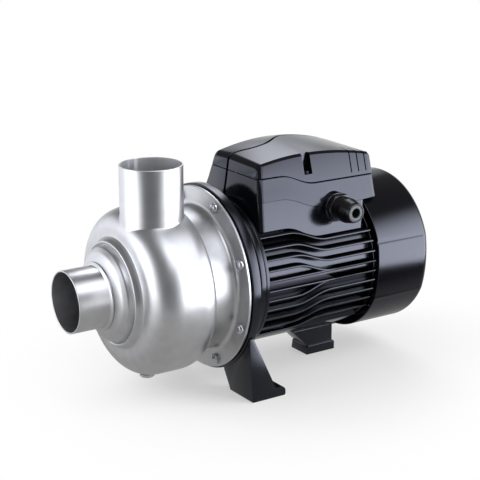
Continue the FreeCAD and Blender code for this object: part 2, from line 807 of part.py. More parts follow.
def fan_parts():
    hub = ring(fan_seat_r, fan_hub_r, fan_y, fan_y + fan_blade_w)
    disc = ring(fan_seat_r, fan_r - 10, fan_y, fan_y + fan_disc_t)
    blade = block(fan_hub_r - 1, fan_r, fan_y, fan_y + fan_blade_w, -fan_blade_t / 2, fan_blade_t / 2)
    export("fan", fuse(disc, hub, *around(blade, even_angles(fan_blades))))
    clip_y = fan_y + fan_blade_w
    export("fan_clip", ring(fan_seat_r, fan_seat_r + 3, clip_y, clip_y + 1.5))


def cover_section(radius, y):
    """Round section whose two sides are slightly flatter between their creases."""
    high = vec(math.sqrt(fan_cover_r ** 2 - crease_high_z ** 2), 0, crease_high_z)
    low = vec(math.sqrt(fan_cover_r ** 2 - crease_low_z ** 2), 0, crease_low_z)
    scale = radius / fan_cover_r
    corners = [p * scale + vec(0, y, 0) for p in (high, low)]
    mirrored = [vec(-p.x, y, p.z) for p in corners]
    middle = math.degrees(math.atan2(high.z + low.z, high.x + low.x))
    flat = polar(radius - crease_flat, middle, y)
    arcs = [
        Part.Arc(corners[0], flat, corners[1]),
        Part.Arc(corners[1], vec(0, y, -radius), mirrored[1]),
        Part.Arc(mirrored[1], vec(-flat.x, y, flat.z), mirrored[0]),
        Part.Arc(mirrored[0], vec(0, y, radius), corners[0]),
    ]
    return Part.Face(Part.Wire([arc.toShape() for arc in arcs]))


def cover_form(inset):
    """Closed outer form of the cover, or its inside with an inset."""
    radius = fan_cover_r - inset
    rear = fan_cover_rear_y - inset
    round_r = fan_cover_round - inset
    body = cover_section(radius, body_rear_y).extrude(vec(0, rear - body_rear_y, 0))
    start = vec(radius + 1, body_rear_y - 1, 0)
    bend = vec(radius + 1, rear - round_r, 0)
    crown = vec(radius + 1 - round_r, rear, 0)
    corner = vec(radius + 1 - round_r, rear - round_r, 0)
    mid = corner + vec(1, 1, 0) * (round_r / math.sqrt(2))
    wire = Part.Wire([
        Part.makeLine(start, bend), Part.Arc(bend, mid, crown).toShape(),
        Part.makeLine(crown, vec(0, rear, 0)), Part.makeLine(vec(0, rear, 0), vec(0, start.y, 0)),
        Part.makeLine(vec(0, start.y, 0), start)])
    return body.common(revolve(Part.Face(wire)))


def fan_cover():
    slots = []
    for i in range(grille_rings):
        inner = grille_first_r + i * grille_pitch
        slots.append(ring(inner, inner + grille_slot, fan_cover_rear_y - 6, fan_cover_rear_y + 1))
    bars = around(block(-fan_cover_r, fan_cover_r, fan_cover_rear_y - 7, fan_cover_rear_y + 2,
                        -grille_spoke / 2, grille_spoke / 2), even_angles(grille_spokes, 30))
    grille = Part.makeCompound(slots).cut(Part.makeCompound(bars[:grille_spokes // 2]))
    holes = [radial_rod(cover_screw_r, fan_cover_r - 8, fan_cover_r + 1, degrees, cover_screw_y)
             for degrees in (180, 270)]
    shell = cover_form(0).cut(cover_form(cover_shell)).cut(grille)
    export("fan_cover", shell.cut(Part.makeCompound(holes)))
    screws = []
    for degrees in (180, 270):
        seat = fan_cover_r if degrees == 270 else fan_cover_r - crease_flat + 0.1
        head = radial_rod(cover_screw_head_r, seat, seat + 1.8, degrees, cover_screw_y)
        shank = radial_rod(cover_screw_r, shield_r - 5, seat, degrees, cover_screw_y)
        screws.append(fuse(head, shank))
    export("fan_cover_screws", *screws)


# Terminal box

def side_x(z):
    """Half width of the box at a height."""
    return box_top_x + box_side_slope * (box_top_z - z)


def front_y(z):
    return box_front_y - box_front_slope * (box_top_z - z)


def crown_height(y, front_z, crown_z):
    """Arched lid line through its front, crown and rear heights."""
    if y < crown_y:
        share = (crown_y - y) / (crown_y - box_front_y)
        return crown_z - (crown_z - front_z) * share ** 2
    share = (y - crown_y) / (box_rear_y - crown_y)
    return crown_z - (crown_z - box_rear_z) * share ** 2


def crown_form(inset):
    """Body under the arched, creased top of the lid."""
    reach = box_top_x - screw_post_r * 3.6
    sections = []
    spans = (-0.07, 0.12, 0.28, 0.44, 0.61, 0.82, 1.06)
    for y in [box_front_y + share * (box_rear_y - box_front_y) for share in spans]:
        near = crown_height(y, box_top_z, near_crown_z) - inset
        ridge = crown_height(y, ridge_front_z, ridge_crown_z) - inset
        far = crown_height(y, box_top_z, far_crown_z) - inset
        near_z = near - (ridge - near) * reach / (box_top_x - ridge_x)
        far_z = far - (ridge - far) * reach / (box_top_x + ridge_x)
        sections.append(Part.makePolygon([
            vec(box_top_x + reach, y, near_z), vec(ridge_x, y, ridge), vec(-box_top_x - reach, y, far_z),
            vec(-box_top_x - reach, y, 0), vec(box_top_x + reach, y, 0),
            vec(box_top_x + reach, y, near_z)]))
    top = Part.makeLoft(sections, True, False)
    wide = block(-fin_r, fin_r, 0, box_rear_y + box_wall * 8, 0, box_top_z - 16)
    return top.fuse(wide)


def under_wave(front_z, drop):
    """Everything below a wave-shaped level."""
    y0, y1 = front_y(0) - 20, box_rear_y + 20
    edges = wave_edges(y0, y1, front_z, drop)
    low = -fin_r
    edges += [Part.makeLine(vec(0, y1, front_z - drop), vec(0, y1, low)),
              Part.makeLine(vec(0, y1, low), vec(0, y0, low)),
              Part.makeLine(vec(0, y0, low), vec(0, y0, front_z))]
    solid = Part.Face(Part.Wire(edges)).extrude(vec(2 * fin_r, 0, 0))
    solid.translate(vec(-fin_r, 0, 0))
    return solid


def saddle_r():
    """Radius of the box underside, a running fit over the crown of the motor body."""
    return body_core_r + 5 + box_clear


def box_form(inset):
    """Closed form of the terminal box, or its inside with an inset."""
    low = foot_of_box()
    high = ridge_crown_z + 14
    sides = outline([vec(side_x(low) - inset, 0, low), vec(side_x(high) - inset, 0, high),
                     vec(inset - side_x(high), 0, high), vec(inset - side_x(low), 0, low)])
    body = sides.extrude(vec(0, box_rear_y + 10, 0))
    rear = outline([
        vec(0, front_y(low) + inset, low), vec(0, front_y(high) + inset, high),
        vec(0, box_rear_y - inset, high), vec(0, box_rear_y - inset, box_step_z + 3 + inset),
        vec(0, box_step_y - inset, box_step_z + inset), vec(0, box_heel_y - inset, low)])
    rear = rear.extrude(vec(4 * fin_r, 0, 0))
    rear.translate(vec(-2 * fin_r, 0, 0))
    body = body.common(rear).common(crown_form(inset))
    body = body.cut(under_wave(skirt_front_z + inset, skirt_drop))
    body = body.cut(rod(saddle_r() + inset, -1, body_rear_y + 1))
    return body.cut(rod(fan_cover_r + box_clear + inset, body_rear_y - 1, box_rear_y + 20))


def foot_of_box():
    """Level below every part of the box, from which its walls are drawn."""
    return skirt_front_z - skirt_drop - 20


def lid_slot(side):
    """Recess for a lid screw, open to the side and the top of the lid."""
    inner = box_top_x - lid_screw_inset - lid_screw_head_r - box_clear
    x0, x1 = sorted((side * inner, side * (side_x(lid_slot_z) + 1)))
    return block(x0, x1, lid_screw_y - lid_slot_w / 2, lid_screw_y + lid_slot_w / 2,
                 lid_slot_z, ridge_crown_z + 1)


def lid_screw_rod(radius, side, z0, z1):
    """Upright cylinder on the axis of a lid screw."""
    x = side * (box_top_x - lid_screw_inset)
    return Part.makeCylinder(radius, z1 - z0, vec(x, lid_screw_y, z0))


def gland_rod(radius, x0, x1):
    """Cylinder on the axis of the cable gland."""
    return Part.makeCylinder(radius, x1 - x0, vec(x0, gland_y, gland_z), vec(1, 0, 0))


def lid_grooves():
    """Cuts along the front of the ridge and across both rear corners of the lid."""
    half = lid_groove_w / 2
    core = box_form(lid_groove_depth)
    cuts = [block(ridge_x - half, ridge_x + half, 0, box_front_y + lid_groove_depth, 0, box_top_z + 1)]
    for y in lid_groove_ys:
        for side in (1, -1):
            x0, x1 = sorted((side * (box_top_x - 14), side * (box_top_x + 12)))
            cuts.append(block(x0, x1, y - half, y + half, lid_groove_z, ridge_crown_z + 1))
    return [cut.cut(core) for cut in cuts]


def wire_hole():
    """Way for the leads between the terminal box and the windings."""
    x = terminal_x - wire_hole_shift
    z = stator_r - 10
    return Part.makeCylinder(wire_hole_r, box_top_z - z - box_wall * 10, vec(x, wire_hole_y, z))


def terminal_box_parts():
    below = under_wave(parting_front_z, parting_drop)
    outer = box_form(0)
    inner = box_form(box_wall)
    post_top = ridge_crown_z + 1
    posts = [lid_screw_rod(screw_post_r, side, screw_post_z, post_top).common(outer) for side in (1, -1)]
    boss = gland_rod(gland_boss_r, gland_face_x() - 20, gland_face_x())
    boss = boss.cut(inner).cut(rod(saddle_r(), 0, body_rear_y))
    whole = outer.cut(inner).multiFuse(posts + [boss])
    drills = [lid_screw_rod(lid_screw_r, side, lid_slot_z - lid_screw_length, lid_slot_z + 1)
              for side in (1, -1)]
    gland_hole = gland_rod(gland_thread_r, box_top_x, gland_face_x() + 1)
    base = whole.common(below).cut(Part.makeCompound(drills + [wire_hole(), gland_hole]))
    export("terminal_box_base", base)
    cuts = [lid_slot(1), lid_slot(-1)] + drills + lid_grooves()
    export("terminal_box_lid", whole.cut(below).cut(Part.makeCompound(cuts)))
    screws = []
    for side in (1, -1):
        head = lid_screw_rod(lid_screw_head_r, side, lid_slot_z, lid_slot_z + lid_screw_head_h)
        shank = lid_screw_rod(lid_screw_r, side, lid_slot_z - lid_screw_length, lid_slot_z)
        screws.append(fuse(head, shank))
    export("lid_screws", *screws)
    box_inside()


def box_inside():
    """Run capacitor with its strap and the terminal block on the box floor."""
    floor_r = saddle_r() + box_wall
    can_z = math.sqrt((floor_r + capacitor_r) ** 2 - capacitor_x ** 2) + 0.2
    can = rod(capacitor_r, capacitor_y, capacitor_y + capacitor_length, capacitor_x, can_z)
    export("run_capacitor", can)
    strap_y = capacitor_y + capacitor_length / 2
    strap = rod(capacitor_r + 1.2, strap_y - 5, strap_y + 5, capacitor_x, can_z).cut(
        rod(capacitor_r, strap_y - 6, strap_y + 6, capacitor_x, can_z))
    export("capacitor_strap", strap.cut(rod(floor_r, 0, 200)))
    top = floor_r + terminal_h
    slab = block(terminal_x - terminal_w / 2, terminal_x + terminal_w / 2, lid_screw_y - terminal_length - 10,
                 lid_screw_y - 10, floor_r - 20, top - 6)
    slab = slab.cut(rod(floor_r, 0, 200))
    export("terminal_block", slab)


# Cable gland

def gland_face_x():
    """Outer face of the upright boss on the sloping box wall."""
    return side_x(gland_z - gland_boss_r)


def gland_parts():
    seat = vec(gland_face_x(), gland_y, gland_z)
    out = vec(1, 0, 0)

    def piece(radius, start, length):
        return Part.makeCylinder(radius, length, seat + out * start, out)

    corner = gland_flats / math.sqrt(3)
    points = []
    for i in range(6):
        turn = math.radians(60 * i)
        points.append(seat + vec(0, corner * math.cos(turn), corner * math.sin(turn)))
    hexagonal = outline(points).extrude(out * gland_hex_t)
    neck = piece(gland_thread_r, -8, 9)
    stem = piece(gland_nut_r - 3, gland_hex_t - 1, 12)
    body = fuse(hexagonal, neck, stem).cut(piece(gland_bore_r + 2, -10, 60))
    export("gland_body", body)
    nut_x = gland_hex_t + 0.3
    nose = Part.makeCone(gland_nut_r, gland_nut_tip_r, gland_nut_length - 8, seat + out * (nut_x + 8), out)
    nut = piece(gland_nut_r, nut_x, 8).fuse(nose)
    nut = nut.cut(piece(gland_nut_r - 3, nut_x - 1, 13)).cut(piece(gland_bore_r + 1.5, nut_x, 60))
    export("gland_nut", nut)
    sleeve = piece(gland_bore_r + 2, nut_x - 4, 14).cut(piece(gland_bore_r, nut_x - 5, 60))
    export("gland_seal", sleeve)


# Rear foot

def foot_rod(radius, y, z0, z1):
    """Upright cylinder on the axis of a rear foot screw."""
    return Part.makeCylinder(radius, z1 - z0, vec(0, y, z0))


def rear_foot():
    top = -belly_r - sole_t
    lip = rear_foot_pad_t - shaft_height
    side = outline([vec(0, y, z) for y, z in (
        (rear_foot_top_y, top), (rear_foot_toe_y + 1, lip), (rear_foot_toe_y, -shaft_height),
        (rear_foot_rear_y, -shaft_height), (rear_foot_rear_y, lip), (rear_foot_rear_y - 2, top))])
    foot = side.extrude(vec(2 * rear_foot_half, 0, 0))
    foot.translate(vec(-rear_foot_half, 0, 0))
    cuts = []
    for s in (1, -1):
        x0, x1 = sorted((s * (rear_foot_half - rear_foot_waist), s * (rear_foot_half + 1)))
        cuts.append(block(x0, x1, rear_foot_top_y - 1, rear_foot_rear_y + 1, lip, top + 1))
    well_top = top - rear_foot_web
    pieces = []
    for y in rear_foot_screw_ys:
        cuts.append(foot_rod(rear_foot_well_r, y, -shaft_height - 1, well_top))
        cuts.append(foot_rod(rear_foot_screw_r + 0.1, y, -shaft_height, top + 1))
        head = foot_rod(rear_foot_head_r, y, well_top - rear_foot_head_h, well_top)
        shank = foot_rod(rear_foot_screw_r, y, well_top, top + rear_foot_depth)
        pieces.append(fuse(head, shank))
    export("rear_foot", foot.cut(Part.makeCompound(cuts)))
    export("rear_foot_screws", *pieces)


def main():
    os.makedirs("parts", exist_ok=True)
    front_bearing_y = bracket_rear_y - front_bearing_w - 1
    rear_bearing_y = body_rear_y - 8
    casing_parts()
    cover_parts()
    casing_bolts()
    impeller_parts()
    shaft_parts(front_bearing_y, rear_bearing_y)
    seal_parts()
    front_ratio = bearing_parts("front_bearing", front_seat_r, front_bearing_r, front_bearing_y,
                                front_bearing_w)
    rear_ratio = bearing_parts("rear_bearing", rear_seat_r, rear_bearing_r, rear_bearing_y,
                               rear_bearing_w)
    print("cage ratios", round(front_ratio, 4), round(rear_ratio, 4))
    bracket(front_bearing_y)
    motor_body()
    stator_parts()
    end_shield(rear_bearing_y)
    fan_parts()
    fan_cover()
    terminal_box_parts()
    gland_parts()
    rear_foot()


main()
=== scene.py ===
import math
import bpy
import bmesh
from mathutils import Matrix, Vector


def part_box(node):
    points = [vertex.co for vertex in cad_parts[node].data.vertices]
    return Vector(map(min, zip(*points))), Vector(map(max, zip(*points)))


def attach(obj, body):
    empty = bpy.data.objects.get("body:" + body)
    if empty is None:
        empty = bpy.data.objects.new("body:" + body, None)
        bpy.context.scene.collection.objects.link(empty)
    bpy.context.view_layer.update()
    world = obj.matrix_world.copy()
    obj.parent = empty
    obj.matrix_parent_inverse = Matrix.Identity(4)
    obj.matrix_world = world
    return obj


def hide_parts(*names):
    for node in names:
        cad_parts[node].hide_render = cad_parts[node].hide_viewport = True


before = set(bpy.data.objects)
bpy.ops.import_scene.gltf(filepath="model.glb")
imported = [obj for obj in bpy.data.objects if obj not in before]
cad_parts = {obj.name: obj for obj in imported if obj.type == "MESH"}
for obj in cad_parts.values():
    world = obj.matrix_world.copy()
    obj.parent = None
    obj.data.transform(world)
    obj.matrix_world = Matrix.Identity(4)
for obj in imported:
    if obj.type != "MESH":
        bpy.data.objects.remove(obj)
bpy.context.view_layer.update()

scene = bpy.context.scene

# Pieces are drawn in millimetres about the shaft: +Y runs from the suction port to the fan,
# y = 0 is the front face of the casing flange and z = 0 the shaft axis.
mm = 0.001
casingWall = 2.0
shaftLow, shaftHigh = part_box("shaft")
shaftZ = (shaftLow.z + shaftHigh.z) / 2
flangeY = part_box("volute_casing")[1].y - casingWall * mm


def toFrame(x, y, z):
    return Vector((x * mm, flangeY + y * mm, shaftZ + z * mm))


# Mesh helpers

def roundPath(corners, closed=False, steps=6):
    # Points (a, b) of a path whose corners (a, b, radius) are rounded.
    count = len(corners)
    path = []
    for i, (a, b, radius) in enumerate(corners):
        here = Vector((a, b))
        atEnd = not closed and i in (0, count - 1)
        if radius <= 0 or atEnd:
            path.append((a, b))
            continue
        before = Vector(corners[i - 1][:2]) - here
        after = Vector(corners[(i + 1) % count][:2]) - here
        turn = before.angle(after)
        reach = min(radius / math.tan(turn / 2), before.length * 0.49, after.length * 0.49)
        fitted = reach * math.tan(turn / 2)
        start = here + before.normalized() * reach
        end = here + after.normalized() * reach
        middle = (before.normalized() + after.normalized()).normalized()
        centre = here + middle * (fitted / math.sin(turn / 2))
        fromCentre = start - centre
        sweep = math.pi - turn
        if fromCentre.x * (end - centre).y - fromCentre.y * (end - centre).x < 0:
            sweep = -sweep
        for k in range(steps + 1):
            angle = sweep * k / steps
            c, s = math.cos(angle), math.sin(angle)
            path.append((centre.x + c * fromCentre.x - s * fromCentre.y,
                         centre.y + s * fromCentre.x + c * fromCentre.y))
    return path


def gridFaces(rows, columns, closeRows=False, closeColumns=False):
    faces = []
    for i in range(rows if closeRows else rows - 1):
        for j in range(columns if closeColumns else columns - 1):
            k, m = (i + 1) % rows, (j + 1) % columns
            faces.append((i * columns + j, i * columns + m, k * columns + m, k * columns + j))
    return faces


def lathe(profile, steps, radiusAt=None, closed=True):
    # Turns a profile of (radius, y) about the shaft.
    verts = []
    for k in range(steps):
        angle = 2 * math.pi * k / steps
        for r, y in profile:
            radius = radiusAt(r, y, angle) if radiusAt else r
            verts.append((radius * math.cos(angle), y, radius * math.sin(angle)))
    return verts, gridFaces(steps, len(profile), True, closed)


def turnedAlong(profile, seat, axis, steps):
    # Turns a closed profile of (radius, height) about an axis that starts at the seat.
    axis = Vector(axis).normalized()
    side = axis.orthogonal().normalized()
    across = axis.cross(side)
    verts = []
    for k in range(steps):
        angle = 2 * math.pi * k / steps
        out = side * math.cos(angle) + across * math.sin(angle)
        verts += [tuple(Vector(seat) + out * r + axis * h) for r, h in profile]
    return verts, gridFaces(steps, len(profile), True, True)


def endFaces(count, total):
    # Faces that close the first and the last ring of a skin.
    return [tuple(range(count)), tuple(range(total - 1, total - 1 - count, -1))]


def pin(radius, low, high, seat, axis, steps=48):
    return turnedAlong([(0, low), (radius, low), (radius, high), (0, high)], seat, axis, steps)


def prism(outline, start, end, across):
    # Straight solid from a flat outline; across turns (a, b, depth) into (x, y, z).
    verts = [across(a, b, depth) for depth in (start, end) for a, b in outline]
    count = len(outline)
    faces = [tuple(range(count)), tuple(range(2 * count - 1, count - 1, -1))]
    faces += [(i, (i + 1) % count, count + (i + 1) % count, count + i) for i in range(count)]
    return verts, faces


def linked(name, data):
    obj = bpy.data.objects.new(name, data)
    scene.collection.objects.link(obj)
    return obj


def smooth(mesh, sharp=32):
    # Smooth shading, with edges kept sharp where faces turn by more than this many degrees.
    mesh.shade_smooth()
    mesh.set_sharp_from_angle(angle=math.radians(sharp))


def meshObject(name, parts, sharp=32):
    # One object from several (verts, faces) parts, merged and turned outwards.
    mesh = bpy.data.meshes.new(name)
    bm = bmesh.new()
    for verts, faces in parts:
        made = [bm.verts.new(toFrame(*v)) for v in verts]
        for face in faces:
            bm.faces.new([made[i] for i in face])
    bmesh.ops.remove_doubles(bm, verts=bm.verts, dist=1e-6)
    bmesh.ops.recalc_face_normals(bm, faces=bm.faces)
    bm.to_mesh(mesh)
    bm.free()
    smooth(mesh, sharp)
    return linked(name, mesh)


def applyModifiers(obj):
    # Turns the evaluated object into its plain mesh.
    bpy.context.view_layer.update()
    evaluated = obj.evaluated_get(bpy.context.evaluated_depsgraph_get())
    mesh = bpy.data.meshes.new_from_object(evaluated)
    obj.modifiers.clear()
    obj.data = mesh
    smooth(mesh)
    return obj


def bevel(obj, width, segments=3, limit=35):
    mod = obj.modifiers.new("edges", "BEVEL")
    mod.width = width * mm
    mod.segments = segments
    mod.angle_limit = math.radians(limit)
    return applyModifiers(obj)


def boolean(obj, other, operation="DIFFERENCE"):
    mod = obj.modifiers.new("cut", "BOOLEAN")
    mod.object = other
    mod.operation = operation
    mod.solver = "EXACT"
    applyModifiers(obj)
    bpy.data.objects.remove(other)
    return obj


def dress(obj, material, slotName, *nodes, body="frame"):
    # Gives a finished piece its material and body, and hides the nodes that it stands for. The slot name is not
    # used.
    obj.data.materials.clear()
    obj.data.materials.append(material)
    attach(obj, body)
    if nodes:
        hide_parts(*nodes)
    return obj


# Materials

def fromHex(code):
    # Linear colour of an sRGB hex value.
    parts = [int(code[i:i + 2], 16) / 255 for i in (1, 3, 5)]
    return [c / 12.92 if c <= 0.04045 else ((c + 0.055) / 1.055) ** 2.4 for c in parts] + [1.0]


def addNode(tree, kind, settings=None, inputs=None):
    # Adds a node; settings are its properties, inputs hold values or sockets to link.
    node = tree.nodes.new(kind)
    for key, value in (settings or {}).items():
        setattr(node, key, value)
    for key, value in (inputs or {}).items():
        if isinstance(value, bpy.types.NodeSocket):
            tree.links.new(value, node.inputs[key])
        else:
            node.inputs[key].default_value = value
    return node


def mathNode(tree, operation, first, second=0.0, third=0.0, clamp=False):
    return addNode(tree, "ShaderNodeMath", {"operation": operation, "use_clamp": clamp},
                   {0: first, 1: second, 2: third}).outputs[0]


def easeNode(tree, value, start, end, low=0.0, high=1.0, kind="SMOOTHSTEP"):
    # Eases from low at the start to high at the end.
    ends = {"Value": value, "From Min": start, "From Max": end, "To Min": low, "To Max": high}
    return addNode(tree, "ShaderNodeMapRange", {"interpolation_type": kind}, ends).outputs[0]


def newMaterial(name):
    material = bpy.data.materials.new(name)
    material.use_nodes = True
    tree = material.node_tree
    return material, tree, tree.nodes["Principled BSDF"]


def noise(tree, sizes, detail, roughness):
    # Noise in the piece's own coordinates, with features of these sizes in millimetres.
    place = addNode(tree, "ShaderNodeTexCoord")
    mapping = addNode(tree, "ShaderNodeMapping", None,
                      {"Vector": place.outputs["Object"], "Scale": [1000 / size for size in sizes]})
    return addNode(tree, "ShaderNodeTexNoise", None, {"Vector": mapping.outputs["Vector"], "Detail": detail,
                                                      "Roughness": roughness}).outputs["Fac"]


def ramp(tree, source, stops):
    # Colour ramp from (position, hex or number) stops.
    node = addNode(tree, "ShaderNodeValToRGB", None, {"Fac": source})
    for i, (position, value) in enumerate(stops):
        element = node.color_ramp.elements[i] if i < 2 else node.color_ramp.elements.new(position)
        element.position = position
        element.color = fromHex(value) if isinstance(value, str) else (value, value, value, 1)
    return node.outputs["Color"]


def bump(tree, shader, height, distance, strength=1.0):
    node = addNode(tree, "ShaderNodeBump", None,
                   {"Height": height, "Distance": distance, "Strength": strength})
    tree.links.new(node.outputs["Normal"], shader.inputs["Normal"])


def mottle(tree, shader, pattern, colours, shine, spread, toneAt=(0.3, 0.75), shineAt=(0.2, 0.8)):
    # Colour and roughness that follow one pattern.
    tree.links.new(ramp(tree, pattern, list(zip(toneAt, colours))), shader.inputs["Base Color"])
    tree.links.new(ramp(tree, pattern, list(zip(shineAt, (shine, shine + spread)))), shader.inputs["Roughness"])


def stainlessSteel(name, shine, grain, boreDulling=0.0):
    # Drawn 304 sheet with a fine satin finish: wide soft highlights, no mirror, a faint draw grain.
    # The "bore" attribute marks the inside of a tube, which is pickled and duller than the outside.
    material, tree, shader = newMaterial(name)
    blotch, fine = noise(tree, (60, 60, 60), 2.0, 0.5), noise(tree, grain, 3.0, 0.6)
    rough = ramp(tree, fine, [(0.2, shine - 0.02), (0.8, shine + 0.03)])
    inside = addNode(tree, "ShaderNodeAttribute", {"attribute_name": "bore"}).outputs["Fac"]
    tree.links.new(ramp(tree, blotch, [(0.3, "#c6c6c8"), (0.7, "#cfcfcf")]), shader.inputs["Base Color"])
    tree.links.new(mathNode(tree, "MULTIPLY_ADD", inside, boreDulling, rough), shader.inputs["Roughness"])
    shader.inputs["Metallic"].default_value = 1.0
    bump(tree, shader, fine, 0.00001, 0.2)
    return material


def glossPaint(name, colours, shine, peel):
    # Black stoving enamel or moulded gloss plastic: near-black, clear reflections, slight orange peel.
    material, tree, shader = newMaterial(name)
    skin, dust = noise(tree, (peel, peel, peel), 2.0, 0.5), noise(tree, (0.9, 0.9, 0.9), 5.0, 0.75)
    mottle(tree, shader, dust, colours, shine, 0.12, (0.45, 0.8), (0.35, 0.85))
    shader.inputs["IOR"].default_value = 1.52
    shader.inputs["Specular Tint"].default_value = fromHex("#e9edff")
    bump(tree, shader, skin, 0.00006, 0.5)
    return material


def plainMetal(name, colours, shine, grain):
    # Turned or stamped metal: fine tool marks across the shaft direction.
    material, tree, shader = newMaterial(name)
    marks = noise(tree, grain, 3.0, 0.6)
    mottle(tree, shader, marks, colours, shine, 0.12)
    shader.inputs["Metallic"].default_value = 1.0
    bump(tree, shader, marks, 0.00003, 0.4)
    return material


def softBlack(name, colours, shine, grain):
    # Rubber, carbon or matt moulded nylon: dull, slightly mottled.
    material, tree, shader = newMaterial(name)
    marks = noise(tree, (grain, grain, grain), 4.0, 0.7)
    mottle(tree, shader, marks, colours, shine, 0.15)
    bump(tree, shader, marks, 0.00008, 0.5)
    return material


materials = {
    "stainless": stainlessSteel("satin_drawn_stainless", 0.38, (0.5, 0.5, 0.5)),
    "port": stainlessSteel("satin_stainless_tube", 0.31, (0.5, 0.5, 0.5), 0.34),
    "bolt_steel": plainMetal("zinc_plated_steel", ("#b4b6ba", "#d6d7d9"), 0.18, (1.5, 1.5, 1.5)),
    "bracket_paint": glossPaint("stoved_black_enamel_casting", ("#07080c", "#0d0e13"), 0.10, 2.4),
    "motor_paint": glossPaint("black_enamel_finned_body", ("#050507", "#0b0b0e"), 0.11, 1.8),
    "box_plastic": glossPaint("gloss_black_abs", ("#08090d", "#0f1015"), 0.07, 3.2),
    "cover_plastic": glossPaint("gloss_black_polypropylene", ("#07070a", "#0d0d11"), 0.12, 3.0),
    "fan_plastic": softBlack("moulded_nylon", ("#141416", "#1e1e21"), 0.45, 0.8),
    "gland_plastic": softBlack("black_polyamide", ("#050506", "#0a0a0c"), 0.22, 0.6),
    "rubber": softBlack("nitrile_rubber", ("#121212", "#1b1b1c"), 0.62, 0.7),
    "grey_rubber": softBlack("grey_sealing_rubber", ("#4f585d", "#5d666b"), 0.5, 0.7),
    "black_screw": plainMetal("blackened_screw_steel", ("#1a1b1e", "#2a2b2f"), 0.35, (1.0, 1.0, 1.0)),
    "seal_face": softBlack("carbon_graphite", ("#1c1c1e", "#2a2a2c"), 0.38, 0.4),
    "bearing_steel": plainMetal("ground_bearing_steel", ("#b4b6ba", "#cfd0d3"), 0.16, (8, 0.3, 8)),
    "shaft_steel": plainMetal("turned_shaft_steel", ("#a7a8ab", "#c2c3c5"), 0.22, (8, 0.4, 8)),
    "lamination": plainMetal("stacked_lamination_steel", ("#5a5c60", "#7d7f83"), 0.4, (40, 0.5, 40)),
    "copper": plainMetal("enamelled_copper_wire", ("#8e4a22", "#b8683a"), 0.3, (1.0, 6, 1.0)),
    "capacitor_plastic": softBlack("grey_capacitor_can", ("#c9cacc", "#dcdddf"), 0.35, 0.9),
    "block_plastic": softBlack("cream_terminal_nylon", ("#cfc9b6", "#e2ddcb"), 0.4, 0.9),
}


# Camera at the photograph's view: place and direction in metres, focal length in pixels of the frame

camera = {
    "place": (1.0816, -0.6922, 0.5121), "look": (-0.8011, 0.5292, -0.2798), "focalPx": 1349.14, "framePx": 480,
    "sensor": 36.0,
}


def makeCamera():
    data = bpy.data.cameras.new("camera")
    data.sensor_width = camera["sensor"]
    data.lens = camera["focalPx"] * camera["sensor"] / camera["framePx"]
    obj = linked("camera", data)
    obj.location = camera["place"]
    obj.rotation_euler = Vector(camera["look"]).to_track_quat("-Z", "Y").to_euler()
    scene.camera = obj


# Studio: white backdrop and floor, three soft lamps, and cards that only reflections see

studio = {
    "floorHalf": 8.0, "floorColour": "#fdfdfd", "fadeFrom": 0.12, "fadeTo": 0.34, "fadeNear": 0.45,
    "mirrorFrom": 0.30, "mirrorTo": 0.75, "mirrorShadeNear": 0.42,   # floor brightness in reflections, dimmed near the object as painted shade
    "lamps": [   # name, azimuth, elevation, distance, width, height, radiance
        ("key", 42.0, 38.0, 1.5, 1.0, 1.0, 3.4),
        ("back", 145.0, 40.0, 1.6, 1.0, 0.9, 2.4),
        ("front", -112.0, 36.0, 1.6, 1.1, 1.0, 2.6),
    ],
    "aim": (0.03, 0.09, 0.14),
    "fill": 0.50, "roomDark": 0.16, "bandWhite": 0.85, "bandTop": 0.22, "bandSoft": 0.13,
    "cardColour": "#f4f7ff",
    "upright": [   # name, azimuth, distance, width, foot, top, radiance, soft shares of sides, foot, top
        ("side", 37.0, 0.38, 0.70, 0.0, 0.46, 7.2, 0.34, 0.05, 0.60),
        ("left", -134.0, 0.60, 0.66, 0.0, 0.46, 1.35, 0.25, 0.1, 0.35),
        ("front", -98.0, 0.60, 0.60, 0.0, 0.52, 3.4, 0.38, 0.12, 0.45),
        ("flag", -42.0, 0.55, 0.56, 0.0, 0.42, 0.16, 0.01, 0.01, 0.01),
        ("sky", 147.0, 1.1, 0.80, 0.26, 2.0, 5.2, 0.35, 0.7, 0.06),
    ],
    "loose": [   # name, middle, across, upward, radiance, soft shares of sides, foot, top
        ("overhead", (0.27, 0.02, 0.46), (0.50, 0, 0), (0, 0.42, 0), 3.0, 0.35, 0.35, 0.35),
        ("port", (0.31, 0.05, 0.27), (-0.10, 0.14, 0), (0, 0, 0.24), 3.0, 0.35, 0.35, 0.35),
        # The last card lies near-black on the floor beside the fan cover, and only reflections see it: painted
        # shade on the floor.
        ("floor_flag", (0.30, 0.32, 0.002), (0.40, 0, 0), (0, 0.46, 0), 0.03, 0.3, 0.3, 0.3),
    ],
}


def towards(azimuth, elevation, distance):
    a, e = math.radians(azimuth), math.radians(elevation)
    return Vector(studio["aim"]) + distance * Vector((math.cos(a) * math.cos(e), math.sin(a) * math.cos(e),
                                                      math.sin(e)))


def makeLamp(name, azimuth, elevation, distance, width, height, radiance):
    data = bpy.data.lights.new(name, "AREA")
    data.shape = "RECTANGLE"
    data.size = width
    data.size_y = height
    data.energy = radiance * math.pi * width * height
    obj = linked(name, data)
    obj.location = towards(azimuth, elevation, distance)
    obj.rotation_euler = (Vector(studio["aim"]) - obj.location).to_track_quat("-Z", "Y").to_euler()
    obj.visible_glossy = False


